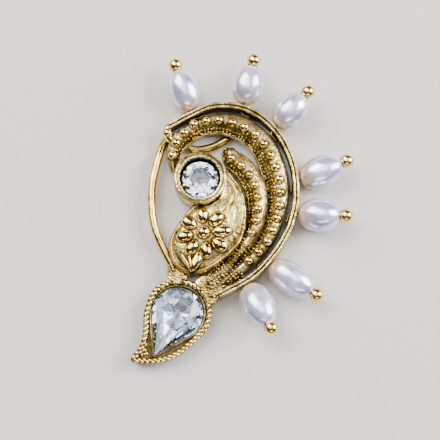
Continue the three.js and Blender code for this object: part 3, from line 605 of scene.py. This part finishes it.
def add_camera():
    camera = in_scene("camera", bpy.data.cameras.new("camera"))
    lift = radians(CAMERA_ELEVATION)
    back = Vector((0, -cos(lift), sin(lift)))
    camera.location = (Vector(TO_FRAME + CAMERA_LOOKS_AT) + back * CAMERA_DISTANCE) * MM
    camera.rotation_euler = back.to_track_quat("Z", "Y").to_euler()
    camera.data.sensor_width = SENSOR
    camera.data.lens = SENSOR * CAMERA_DISTANCE / PHOTO_WIDTH
    camera.data.clip_start = 0.01
    bpy.context.scene.camera = camera


def add_floor():
    skin = bpy.data.meshes.new("floor")
    far = FLOOR_HALF * MM
    corners = [(-far, -far, 0), (far, -far, 0), (far, far, 0), (-far, far, 0)]
    skin.from_pydata(corners, [], [(0, 1, 2, 3)])
    skin.materials.append(paper_floor())
    in_scene("floor", skin)


# Soft boxes: where they stand in mm, their width and height in mm, power in watts and colour
SOFT_BOXES = [
    ((-30, 140, 700), 480, 480, 2.8, "#fbfaff"),
    ((-230, 210, 330), 340, 340, 4.4, "#fffaf2"),
    ((350, 90, 240), 260, 340, 5.4, "#fbf8fb"),
    ((40, -350, 230), 260, 70, 0.4, "#fff8ee"),
]


def add_light():
    world = bpy.data.worlds.new("studio")
    world.use_nodes = True
    back = world.node_tree.nodes["Background"]
    back.inputs["Color"].default_value = linear("#dfe3ea")
    back.inputs["Strength"].default_value = 0.1
    bpy.context.scene.world = world
    for number, (stand, width, height, power, colour) in enumerate(SOFT_BOXES):
        lamp = bpy.data.lights.new(f"soft_box_{number}", "AREA")
        lamp.shape = "RECTANGLE"
        lamp.size, lamp.size_y = width * MM, height * MM
        lamp.energy = power
        lamp.color = linear(colour)[:3]
        box = in_scene(lamp.name, lamp)
        box.location = Vector(stand) * MM
        box.rotation_euler = Vector(stand).to_track_quat("Z", "Y").to_euler()


# Rim and pins


def pearl_shape(pearl):
    """Radius and half length of the egg, and how far its two flats lie from its middle."""
    radius = PEARL_WIDTH * pearl.width / 2
    flat, mouth = (cos(asin(end / 2 / radius)) for end in (PEARL_FLAT, PEARL_MOUTH))
    half = PEARL_LENGTH * pearl.length / (flat + mouth)
    return radius, half, half * flat, half * mouth


def pin_height():
    """Height at which the pins leave the rim, so that the widest pearl just clears the floor."""
    drops = []
    for pearl in PEARLS:
        radius, half, flat, _ = pearl_shape(pearl)
        lift = radians(pearl.rise)
        low = hypot(half * sin(lift), radius * cos(lift))
        drops.append(low - (flat + SEAT_GAP) * sin(lift))
    return REST_GAP + max(drops)


PIN_HEIGHT = pin_height()
RIM_HEIGHT = PIN_HEIGHT + RIM_ABOVE_PIN


def rim_points():
    first, last, step = RIM_BEARINGS
    bearings = range(first, last - 1, -step)
    arc = [(cos(radians(b)), sin(radians(b))) for b in bearings]
    return [place(p) for p in [RIM_START, *arc, *RIM_RUN]]


rim_route = Route(rim_points())
rim_edge = rim_route.spaced(RIM_STEPS)


def rim_band(material):
    """A band on edge whose top shows two rubbed lines with a dark one between them."""
    top, wall = RIM_HEIGHT, RIM_WALL
    half = [(0, FOOT_CHAMFER), *[(depth, top + drop) for depth, drop in RIM_TOP]]
    section = half + [(wall - depth, z) for depth, z in reversed(half)]
    section += [(wall - FOOT_CHAMFER, 0), (FOOT_CHAMFER, 0)]
    grime = []
    for depth, z in section:
        # The groove on top holds dark wax; the band's inside face is painted dark as shade, for the
        # shadow in the channel between band and feathers
        in_groove = 0.3 < depth < wall - 0.3 and z < top - 0.1
        inside = depth > wall - 0.08 and z < top - 0.08
        grime.append(WAXED_AND_SHADED if in_groove or inside else 0)
    rings = []
    for i, point in enumerate(rim_edge):
        side = outward(rim_route.along(i / RIM_STEPS))
        rings.append([point - side * depth + (0, 0, z) for depth, z in section])
    skin = uneven(loft(rings), size=1.4, reach=0.05)
    skin[0][:, 2] = np.maximum(skin[0][:, 2], 0)
    add_piece("rim", [skin], material, grime=grime * (RIM_STEPS + 1))


def pin_station(pearl):
    """Where a pin crosses the rim, and how far out its pearl clears it."""
    wanted = radians(pearl.bearing)
    misses = np.abs(np.arctan2(rim_edge[:, 1], rim_edge[:, 0]) - wanted)
    share = int(np.argmin(misses)) / RIM_STEPS
    along = heading(pearl.angle, rise=pearl.rise)
    lean = acos(float(along @ outward(rim_route.along(share))))
    seat = SEAT_GAP + PEARL_FLAT / 2 * tan(lean)
    return share, seat, rim_route.at(share) + (0, 0, PIN_HEIGHT), along


def pearl_body(number, pearl, material):
    """A drilled oval pearl with blunt ends, faint lengthwise ridges and a smooth belly."""
    radius, half, flat, mouth = pearl_shape(pearl)
    _, seat, point, along = pin_station(pearl)
    middle = point + along * (flat + seat)
    rows = 44
    heights = -flat + (flat + mouth) * (1 - np.cos(np.linspace(0, pi, rows))) / 2
    reach = np.sqrt(np.maximum(1 - (heights / half) ** 2, 0))
    egg = radius * reach * (1 - 0.05 * heights / half)
    bore = PEARL_BORE / 2
    profile = [(bore, -flat + MOUTH_DEPTH), (bore, -flat + 0.03), (bore + 0.1, -flat)]
    profile += zip(egg, heights)
    profile += [(bore + 0.1, mouth), (bore, mouth - 0.03), (bore, mouth - MOUTH_DEPTH)]
    ridges = [(draw.uniform(0, tau), draw.uniform(0.012, 0.022)) for _ in range(4)]

    def ridged(angles, height):
        belly = max(1 - (height / half) ** 2, 0)
        total = np.ones(len(angles))
        for turn, rise in ridges:
            away = (angles - turn + pi) % tau - pi
            total -= rise * belly * np.exp(-(away / 0.22) ** 2)
        return total

    skin = turned(profile, middle, along, sides=56, shape=ridged)
    spread = (skin[0] - middle) @ along
    shade = (spread + flat) / (flat + mouth)
    name = f"pearl_{number}"
    add_piece(f"dipped_{name}", [skin], material, PEARL_SLOT, [name], sharp=60, along=shade)


def pin_body(number, pearl, material):
    """A ball with a small collar, a shank through the pearl, and a tail bent behind the rim."""
    share, seat, point, along = pin_station(pearl)
    proud = sqrt(PIN_BALL**2 - PEARL_MOUTH**2) / 2
    ball = point + along * (seat + PEARL_LENGTH * pearl.length + SEAT_GAP + proud)
    depth = RIM_WALL + TAIL_CLEARANCE + PIN_WIRE / 2
    turn = point - along * RIM_WALL
    path = [ball, (ball + turn) / 2, turn]
    for distance in (PIN_WIRE, PIN_TAIL / 2, PIN_TAIL):
        at = min(share + distance / rim_route.length, 1)
        behind = rim_route.at(at) - outward(rim_route.along(at)) * depth
        path.append(np.array([behind[0], behind[1], turn[2]]))
    half = PIN_BALL / 2
    turns = np.linspace(0.03, pi - 0.03, 20)
    head = [(half * sin(t), half * cos(t)) for t in turns]
    foot = -proud - SEAT_GAP
    collar = [(radius, foot + rise) for radius, rise in PIN_COLLAR]
    skins = [turned(head, ball, along, sides=32), turned(collar, ball, along, sides=24)]
    skins.append(tube(smooth_line(path, per_span=6), PIN_WIRE, sides=12))
    # The pin's wire is painted dark as shade where it shows, in the channel behind the rim
    grime = np.repeat([0, 0, 0.85], [len(points) for points, _ in skins])
    name = f"pin_{number}"
    add_piece(f"ball_{name}", skins, material, replaced=[name], sharp=50, grime=grime)


# Feathers


def stations(rows, reach, count, limit):
    """Along a bead row: point, outward side, reach to each edge, and the crest's share."""
    row = Route([place(r[:2]) for r in rows])
    widths = smooth_line([r[2:] for r in rows])
    found = []
    for i in range(count + 1):
        share = i / count
        knot = row.knot(share)
        outer, inner, rise = (np.interp(knot, np.linspace(0, 1, len(widths)), w) for w in widths.T)
        point = row.at(share)
        side = outward(row.along(share))
        found.append((point, side, limit(point, outer * reach, knot), inner * reach, rise))
    return row, found


def outer_limit(point, wanted, knot):
    return min(wanted, nearest(rim_edge, point) - RIM_WALL - TAIL_SPACE)


OUTER_COUNT, INNER_COUNT = 240, 140
outer_row, outer_stations = stations(OUTER_FEATHER, FEATHER_REACH, OUTER_COUNT, outer_limit)
outer_inside = np.array([point - side * inner for point, side, _, inner, _ in outer_stations])


def inner_limit(point, wanted, knot):
    first, last = (row / (len(INNER_FEATHER) - 1) for row in INNER_JOINED)
    blend = 0.05
    joined_here = np.interp(knot, [first - blend, first, last, last + blend], [0, 1, 1, 0])
    return wanted + (nearest(outer_inside, point) + JOIN_OVERLAP - wanted) * joined_here


inner_row, inner_stations = stations(INNER_FEATHER, INNER_REACH, INNER_COUNT, inner_limit)

# Across a feather, from the outer edge (1) over the beads (0) to the inner edge (-1): height as a
# share of the rise from edge to crest
FEATHER_TOP = [
    (1, 0.12), (0.95, 0.32), (0.85, 0.5), (0.65, 0.7), (0.45, 0.86), (0.2, 0.96),
    (0, 1), (-0.2, 0.9), (-0.4, 0.66), (-0.6, 0.36), (-0.75, 0.12),
]


def feather_section(outer, inner, rise, crest):
    edge = FEATHER_LIFT + FEATHER_EDGE
    top = edge + (crest - edge) * rise
    section = [(outer, FEATHER_LIFT), (outer, edge - 0.1)]
    for reach, share in smooth_line(FEATHER_TOP, per_span=3):
        section.append((reach * (outer if reach > 0 else inner), edge + (top - edge) * share))
    lip = min(FEATHER_LIP, inner * 0.3)
    section += [(-inner + lip * back, edge + lift) for back, lift in LIP_TOP]
    section += [(-inner, FEATHER_LIFT), (0, max(top - FEATHER_EDGE * 1.5, FEATHER_LIFT))]
    return section


def bead_places(band):
    """Middles of a row's beads, each a little above the crest where it stands."""
    first, count = band.beads
    rises = [station[4] for station in band.stations]
    middles = []
    for i in range(count):
        share = min(first + i * band.pitch / band.row.length, 1)
        rise = np.interp(share, np.linspace(0, 1, len(rises)), rises)
        top = surface_height(rise, 0, band.crest) + BEAD_PROUD
        middles.append(band.row.at(share) + (0, 0, top))
    return np.array(middles)


def grime_round(points, middles, half):
    """Dark wax round each bead, fading from 1 at its foot."""
    gaps = norm(points[:, None, :2] - middles[None, :, :2], axis=2).min(axis=1) - half
    return np.clip(1 - gaps / BEAD_WAX, 0, 1) ** 1.5


# Beads are the share of a feather's length at which they start, and their number. Grained is the
# stretch of its slope that has grains, which from the tail's share on cover its whole width.
Feather = namedtuple("Feather", "name row stations crest beads pitch bead grained tail")
FEATHERS = [
    Feather(
        "outer", outer_row, outer_stations, FEATHER_CREST,
        (0.05, 20), BEAD_PITCH, BEAD_DIAMETER, (-0.78, -0.32), 0.9,
    ),
    Feather(
        "inner", inner_row, inner_stations, INNER_CREST,
        (0.078, 8), INNER_BEAD_PITCH, INNER_BEAD_DIAMETER, (-0.78, -0.38), 0.66,
    ),
]
GRAINED_TAIL = (-0.8, 0.9)


def feather(band, beads, material):
    """A raised band with dark wax between its grains and round its beads, and painted shade on its
    outer face, which looks into the channel by the rim.
    """
    rings, wax = [], []
    for i, (point, side, outer, inner, rise) in enumerate(band.stations):
        section = feather_section(outer, inner, rise, band.crest)
        rings.append([point + side * reach + (0, 0, z) for reach, z in section])
        low, high = GRAINED_TAIL if i / len(band.stations) > band.tail else band.grained
        shares = [reach / (outer if reach > 0 else inner) for reach, _ in section]
        wax += [0.8 if low - 0.06 < share < high + 0.06 else 0 for share in shares]
        # Painted shade on the outer face, in the channel between the feather and the rim
        wax[-len(section) : 2 - len(section)] = (0.85, 0.6)
    skin = uneven(loft(rings), size=0.9, reach=0.035)
    grime = np.maximum(grime_round(skin[0], beads, band.bead / 2), wax)
    add_piece(f"{band.name}_feather", [skin], material, grime=grime)


def bead_row(band, middles, material):
    """Cast beads along a row. Each sits a little unevenly, as wax beads do."""
    skins = []
    for point in middles:
        size = band.bead * draw.uniform(0.97, 1.06)
        point = point + (draw.uniform(-0.05, 0.05), draw.uniform(-0.05, 0.05), 0)
        width = size * draw.uniform(0.95, 1.02)
        skins.append(lump(point, size, width, size * 0.98, draw.uniform(0, 180)))
    add_piece(f"{band.name}_beads", skins, material, sharp=60)


def surface_height(rise, share, crest):
    edge = FEATHER_LIFT + FEATHER_EDGE
    reaches, lifts = zip(*reversed(FEATHER_TOP))
    return edge + (crest - edge) * rise * np.interp(share, reaches, lifts)


def grains(band, material):
    """Small soldered grains on a feather's slope."""
    rows, skins = band.stations, []
    pitch, reach = GRAIN * 0.92, 0.0
    for i, ((point, side, outer, inner, rise), (after, *_)) in enumerate(zip(rows, rows[1:])):
        reach += norm(after - point)
        if reach < pitch:
            continue
        reach = 0.0
        low, high = GRAINED_TAIL if i / len(rows) > band.tail else band.grained
        for distance in np.arange(low * inner, high * inner, pitch):
            spot = distance + draw.uniform(-0.1, 0.1)
            share = spot / (outer if spot > 0 else inner)
            along = np.array([side[1], -side[0], 0]) * draw.uniform(-0.1, 0.1)
            size = GRAIN * draw.uniform(0.7, 1.2)
            middle = point + side * spot + along + (0, 0, surface_height(rise, share, band.crest))
            skins.append(granule(middle, size, 0.9, 0.9, sides=8, levels=5))
    add_piece(f"{band.name}_grains", skins, material, sharp=80)


def knob(material):
    middle = place(KNOB_PLACE, FEATHER_CREST - BEAD_DIAMETER / 2)
    end = rim_route.at(0) - outward(rim_route.along(0)) * RIM_WALL / 2
    tip = place(OUTER_FEATHER[2][:2])
    height = (0, 0, FEATHER_LIFT + BEAD_DIAMETER / 2)
    bar = smooth_line([end + height, middle * (1, 1, 0) + height, tip + height], per_span=8)
    ball = lump(middle, BEAD_DIAMETER * 1.05, BEAD_DIAMETER, BEAD_DIAMETER, 30)
    add_piece("knob", [ball, tube(bar, BEAD_DIAMETER, sides=20)], material, sharp=60)


# Paisley body

flower = place(FLOWER_PLACE)
paisley_outline = Route(
    [flower + (x * PAISLEY_WIDTH, y * PAISLEY_LENGTH, 0) for x, y in PAISLEY], closed=True
)


def dome(spread):
    """Height of the body's face at a share of the way from the flower's middle to the outline."""
    line = smooth_line(PAISLEY_DOME, per_span=8)
    rise = np.interp(spread, line[:, 0], line[:, 1])
    return PAISLEY_EDGE + (PAISLEY_CREST - PAISLEY_EDGE) * rise


def relief(points):
    """Height that the flowing ridges add to the body's face, and the dark wax beside them."""
    total, wax = np.zeros(len(points)), np.zeros(len(points))
    for half, rise, line in PAISLEY_RIDGES:
        route = smooth_line([place(p)[:2] for p in line], per_span=16)
        gaps = norm(points[:, None, :2] - route[None], axis=2)
        near = gaps.argmin(axis=1)
        taper = np.sin(np.clip(near / (len(route) - 1), 0.02, 0.98) * pi) ** 0.5
        away = gaps.min(axis=1) / half
        total = np.maximum(total, rise * taper * np.exp(-(away**2)))
        wax = np.maximum(wax, 0.75 * taper * np.exp(-(((away - 1.7) * half / 0.13) ** 2)))
    return total, wax


# Each petal and leaf: its middle, its angle, and its length and width in mm
petal_ovals = []
for angle, out, length, width in PETALS:
    middle = flower + heading(angle, FLOWER_RADIUS * out)
    petal_ovals.append((middle, angle, PETAL_LENGTH * length, PETAL_WIDTH * width))
leaf_ovals = []
for angle, length, width in LEAVES:
    middle = place(LEAF_FOOT) + heading(angle, LEAF_LENGTH * length / 2)
    leaf_ovals.append((middle, angle, LEAF_LENGTH * length, LEAF_WIDTH * width))


def petal_grime(points):
    """Dark wax in the joint round each petal and leaf."""
    total = np.zeros(len(points))
    ovals = [*petal_ovals, *leaf_ovals, (flower, 0, FLOWER_BEAD, FLOWER_BEAD)]
    for middle, angle, length, width in ovals:
        gap = points - middle
        along, across = gap @ heading(angle), gap @ heading(angle + 90)
        share = np.sqrt((along / (length / 2)) ** 2 + (across / (width / 2)) ** 2)
        total = np.maximum(total, np.clip(1 - (share - 1) * (width / 2) / PETAL_WAX, 0, 1) ** 1.5)
    return total


def paisley(material):
    """A hollow domed body with a rolled border and ridges that flow down from its neck."""
    outline = paisley_outline.spaced(240)[:-1]
    radii = norm(outline - flower, axis=1)
    # How coppery the body is near its edge: more so on its left side
    coppery_side = np.clip(0.3 + (flower - outline)[:, 0] / PAISLEY_WIDTH * 2, 0.1, 1)
    rings, worn = [], []
    spreads = np.concatenate([np.linspace(0.01, 0.8, 56), np.linspace(0.815, 1, 24)])
    for spread in spreads:
        ring = flower + (outline - flower) * spread
        inset = radii * (1 - spread)
        roll = BORDER_RISE * np.sin(np.clip(inset / BORDER_WIDTH, 0, 1) * pi)
        roll -= FURROW_DEPTH * np.exp(-(((inset - FURROW_INSET) / FURROW_WIDTH) ** 2))
        ring[:, 2] = dome(spread) + roll
        ring[:, 2] += relief(ring)[0] * np.clip(inset / 0.5, 0, 1)
        rings.append(ring)
        worn.append(np.clip(0.85 - inset / 0.6, 0, 1) * coppery_side)
    for z in (PAISLEY_EDGE - 0.12, PAISLEY_EDGE - 0.5, 0):
        rings.append(np.column_stack([outline[:, :2], np.full(len(outline), z)]))
        worn.append(coppery_side * (0.7 if z else 0))
    shrink = 1 - 2 * PAISLEY_WALL / PAISLEY_WIDTH
    for spread in (1, 0.999, 0.9, 0.7, 0.4, 0.05):
        ring = flower + (outline - flower) * spread * shrink
        ring[:, 2] = 0 if spread == 1 else dome(spread) - PAISLEY_WALL
        rings.append(ring)
        worn.append(np.zeros(len(outline)))
    skin = uneven(loft(rings), size=0.8, reach=0.03)
    grime = np.maximum(petal_grime(skin[0]), relief(skin[0])[1])
    add_piece("paisley", [skin], material, worn=np.concatenate(worn), grime=grime)


def dome_height(point):
    """Height of the body's face at a place."""
    spoke = (point - flower)[:2]
    edge = (paisley_outline.line - flower)[:, :2]
    lengths = norm(edge, axis=1)
    aligned = np.argmax(edge @ spoke / lengths)
    return dome(norm(spoke) / lengths[aligned])


def raised(ovals, lift, height, point):
    """Lumps on the body's face."""
    return [
        lump(middle + (0, 0, dome_height(middle) + lift), length, width, height, angle, point=point)
        for middle, angle, length, width in ovals
    ]


def flower_and_leaves(material):
    bead = lump(flower + (0, 0, PAISLEY_CREST), FLOWER_BEAD, FLOWER_BEAD * 0.97, FLOWER_BEAD)
    petals = raised(petal_ovals, 0.08, 2.6 * PETAL_RISE, 0.12)
    add_piece("flower", [*petals, bead], material, sharp=60)
    leaves = raised(leaf_ovals, 0.05, LEAF_WIDTH * 1.1, 0.35)
    add_piece("leaves", leaves, material, sharp=60)


# Collet, stones and drop


def girdle_reach(radius, tip, angle):
    """Distance from a stone's middle to its girdle, at an angle in radians from its tip."""
    touch = acos(radius / tip)
    turn = abs((angle + 3 * pi) % tau - pi)
    return radius / cos(touch - turn) if turn < touch else radius


def collet(material):
    """The head: a tube with two rubbed lines on its rim, soldered shut at the top."""
    inside = STONE_RADIUS + COLLET_GAP
    outside = inside + COLLET_WALL
    top = COLLET_HEIGHT
    floor = top - STONE_DEPTH - STONE_CROWN - GIRDLE - STONE_PAVILION - 2 * SEAT_GAP
    profile = [(0.02, 0), (outside - 0.1, 0), (outside, 0.1), (outside, top * 0.5)]
    profile += [(outside - depth, top + drop) for depth, drop in COLLET_TOP]
    profile += [(inside, top - 0.18), (inside, floor), (0.02, floor)]
    sides = 96
    skin = turned(profile, place(COLLET_PLACE), (0, 0, 1), sides)
    skin = uneven(skin, size=1.1, reach=0.04)
    skin[0][:, 2] = np.maximum(skin[0][:, 2], 0)
    # The inner wall and floor round the stone are painted dark, as shade with dark wax in it; the
    # groove on the rim holds dark wax
    dark = [
        WAXED_AND_SHADED if radius < outside - 0.1 and z < top - 0.15 or z == top - 0.13 else 0
        for radius, z in profile
    ]
    add_piece("collet", [skin], material, grime=np.repeat(dark, sides))


# Rows of a foil's corners: shares of the girdle and the pavilion, and each second one's shift
FOIL_ROWS = [
    (1, -0.2, 0), (1, 0, 0), (0.84, 0.3, 0.05), (0.62, 0.56, 0.08),
    (0.4, 0.8, 0.07), (0.19, 0.94, 0.05), (0.03, 1, 0),
]


def foil_cup(name, radius, tip, angle, pavilion, middle, tones, spread, material):
    """Foil pressed over the back of a stone, in facets of its own. Tones are its rows' painted
    brightness, standing for the light that the stone throws back there, from which a facet's own
    differs by up to the spread."""
    sides = 16
    gap = SEAT_GAP / 2
    rings = []
    for share, depth, off in FOIL_ROWS:
        ring = []
        for i in range(sides):
            turn = i * tau / sides
            swing = off if i % 2 else -off
            reach = girdle_reach(radius, tip, turn) * (share + swing) + gap
            drop = (0, 0, -pavilion * (depth - swing / 2) - gap)
            ring.append(middle + heading(degrees(turn) + angle, reach) + drop)
        rings.append(ring)
    points = np.array(rings).reshape(-1, 3)
    faces, flakes = [], []
    for row in range(len(rings) - 1):
        for k in range(sides):
            a, b = row * sides + k, row * sides + (k + 1) % sides
            c, d = b + sides, a + sides
            faces += [(a, b, c), (a, c, d)] if k % 2 else [(a, b, d), (b, c, d)]
            flakes += [tones[row] + draw.uniform(-spread, spread) for _ in range(2)]
    faces.append(tuple(range(len(points) - sides, len(points))))
    flakes.append(tones[-1])
    add_piece(name, [(points, faces)], material, CRYSTAL_SLOT, sharp=5, flake=flakes)


drop_middle = place(DROP_PLACE)


def rope_points():
    first, last, step = ROPE_ROUND
    count = round((first - last) / step)
    angles = [first + (last - first) * i / count for i in range(count + 1)]
    around = [heading(angle, DROP_RADIUS) for angle in angles]
    around += [np.array([x, y, 0]) * DROP_RADIUS for x, y in ROPE_TIP]
    return [drop_middle + point for point in around]


rope_route = Route(rope_points(), True)


def rope(material):
    """Two strands twisted together and soldered round the drop."""
    lumps = round(rope_route.length / ROPE_LAY / 2) * 2
    strand = ROPE_WIDTH * ROPE_STRAND
    swing = (ROPE_WIDTH - strand) / 2
    count = lumps * 10
    height = PLATE_HEIGHT + ROPE_WIDTH * ROPE_LIFT
    skins = []
    for phase in (0, pi):
        line = []
        for i in range(count):
            share = i / count
            side = outward(rope_route.along(share))
            turn = share * lumps * pi + phase
            point = rope_route.at(share) + side * cos(turn) * swing
            line.append(point + (0, 0, height + sin(turn) * swing))
        skins.append(tube(line, strand, sides=10, loop=True))
    # Painted shade: each strand is darker on its lower side, below the rope's crest
    low = np.concatenate([height + ROPE_WIDTH * 0.2 - points[:, 2] for points, _ in skins])
    grime = np.clip(low / (ROPE_WIDTH * 0.3), 0, 0.9)
    add_piece("rope", skins, material, sharp=60, grime=grime)


def drop_plate(material):
    """A cup with a flat back: wall, ledge under the rope, thin bezel and the stone's hollow."""
    outline = rope_route.spaced(180)[:-1]
    spokes = outline - drop_middle
    angles = np.arctan2(spokes[:, 1], spokes[:, 0]) - radians(PEAR_ANGLE)
    tip = PEAR_LENGTH - PEAR_RADIUS
    reach = np.array([girdle_reach(PEAR_RADIUS, tip, a) for a in angles])
    outwards = spokes / norm(spokes, axis=1)[:, None]

    def ring(grow, z):
        return drop_middle + outwards * (reach + grow)[:, None] + (0, 0, z)

    rings = [drop_middle + spokes * 0.02, outline + (0, 0, 0), outline + (0, 0, PLATE_HEIGHT)]
    rings += [ring(grow, PLATE_HEIGHT + rise) for grow, rise in BEZEL]
    rings += [ring(SEAT_GAP, DROP_FLOOR), drop_middle + spokes * 0.02 + (0, 0, DROP_FLOOR)]
    # Painted shade on the ledge under the rope, on the bezel and in the stone's hollow
    grime = np.repeat([0, 0, 0.85, 0.9, 0.6, 0.4, 0.8, 0.9, 0.9, 0.9], len(outline))
    add_piece("drop_plate", [loft(rings)], material, grime=grime)


TIP_CORNERS = [(-1.03, -1.67), (-1.15, -1.82), (-0.96, -1.8)]


def tip_grains(material):
    """Grains soldered in the corner between the rope's tip and the stone."""
    corners = [place(corner, PLATE_HEIGHT) for corner in TIP_CORNERS]
    skins = []
    for _ in range(TIP_GRAINS):
        a, b = sorted((draw.random(), draw.random()))
        spot = corners[0] * a + corners[1] * (b - a) + corners[2] * (1 - b)
        size = GRAIN * draw.uniform(0.8, 1.2)
        skins.append(granule(spot, size))
    add_piece("tip_grains", skins, material, sharp=80)


def bumpy_plate(name, outline, material, count):
    """A small cast plate with grains on its face, which joins the drop to the body."""
    points = [place(p) for p in outline]
    edge = Route(points, True).spaced(60)[:-1]
    middle = edge.mean(axis=0)
    top = PLATE_HEIGHT + FEATHER_EDGE
    rings = [middle + (edge - middle) * 0.02 + (0, 0, FEATHER_EDGE), edge + (0, 0, FEATHER_EDGE)]
    rings += [edge + (0, 0, top - 0.2)]
    for spread, drop in ((0.97, 0.06), (0.9, 0), (0.6, 0), (0.3, 0), (0.02, 0)):
        rings.append(middle + (edge - middle) * spread + (0, 0, top - drop))
    skins = [uneven(loft(rings), size=0.5, reach=0.05)]
    for _ in range(count):
        spot = middle + (edge[draw.randrange(len(edge))] - middle) * sqrt(draw.uniform(0, 0.8))
        size = GRAIN * draw.uniform(0.8, 1.5)
        skins.append(granule(spot + (0, 0, top), size, height=0.8))
    add_piece(name, skins, material)


def ring_wire(material):
    """The sprung wire: soldered at its foot, with its free end behind the feathers."""
    low = RING_WIRE / 2 + CLIP_CLEARANCE / 2
    points = [place((x, y), low + (RING_HEIGHT - low) * height) for x, y, height in RING_ROUTE]
    skin = tube(Route(points).spaced(160), RING_WIRE, sides=24)
    # Painted shade: the free end, past the bend under the knob, is darker where it runs in shade
    # under the feathers
    behind = np.clip((skin[0][:, 0] - points[8][0]) / 2, 0, 0.6) * (skin[0][:, 1] > 0)
    add_piece("ring_wire", [skin], material, sharp=60, grime=behind)


def dress_stones(glass, foil):
    """The cut stones keep their solids' facets, over cups of foil."""
    for node in ("round_stone", "pear_stone"):
        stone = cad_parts[node]
        stone.data.materials.clear()
        stone.data.materials.append(glass)
        stone.data.shade_flat()
    middle = place(COLLET_PLACE, COLLET_HEIGHT - STONE_DEPTH - STONE_CROWN - GIRDLE)
    shape = (STONE_RADIUS, STONE_RADIUS, 0, STONE_PAVILION, middle)
    # The tones paint the light that each stone throws back onto its foil, row by row, as bright and
    # dark rings
    foil_cup("round_foil", *shape, (0.0, 0.1, 0.6, 0.15, 0.85, 0.0), 0.25, foil)
    middle = place(DROP_PLACE, DROP_FLOOR + PEAR_PAVILION + SEAT_GAP)
    shape = (PEAR_RADIUS, PEAR_LENGTH - PEAR_RADIUS, PEAR_ANGLE, PEAR_PAVILION, middle)
    foil_cup("pear_foil", *shape, (0.6, 0.8, 1.0, 0.7, 0.1, 0.0), 0.5, foil)


def build():
    scratched = antique_gold(
        "scratched_rim_gold", "#f5e298", "#a88f48", depth=0.06, rough=0.22, pits=0.7
    )
    sandy = antique_gold(
        "sandy_cast_gold", "#f9e6a0", "#ab9248", depth=0.07, rough=0.28, reach=0.25, pits=0.5
    )
    grainy = antique_gold("grained_gold", "#e9cd78", "#7a6226", rough=0.2, reach=0.22)
    polished = antique_gold(
        "rubbed_bead_gold", "#f9e394", "#c5a24c", 0.6, 0.012, 0.1, reach=0.15, pits=0.05
    )
    twisted = antique_gold(
        "twisted_rope_gold", "#f9e394", "#ccac58", 0.6, 0.012, 0.14, reach=0.4, pits=0.1
    )
    body = antique_gold(
        "paisley_gold", "#f7e294", "#a08740", depth=0.045, rough=0.22, reach=0.3, copper="worn"
    )
    wire = drawn_gold_wire("drawn_gold_wire", "#eed37c", "#ad8a3c")
    ball = drawn_gold_wire("plated_ball_gold", "#f8de8c", "#d6b052")
    pearl = dipped_pearl()
    rim_band(scratched)
    for number, row in enumerate(PEARLS, 1):
        pearl_body(number, row, pearl)
        pin_body(number, row, ball)
    for band in FEATHERS:
        beads = bead_places(band)
        feather(band, beads, sandy)
        bead_row(band, beads, polished)
    for band in FEATHERS:
        grains(band, grainy)
    knob(polished)
    paisley(body)
    flower_and_leaves(polished)
    collet(scratched)
    rope(twisted)
    tip_grains(polished)
    drop_plate(scratched)
    bumpy_plate("foot_plate", FOOT_PLATE, grainy, 26)
    bumpy_plate("bridge_plate", BRIDGE_PLATE, grainy, 60)
    ring_wire(wire)
    dress_stones(cut_glass(), silver_foil())


add_camera()
add_floor()
add_light()
build()
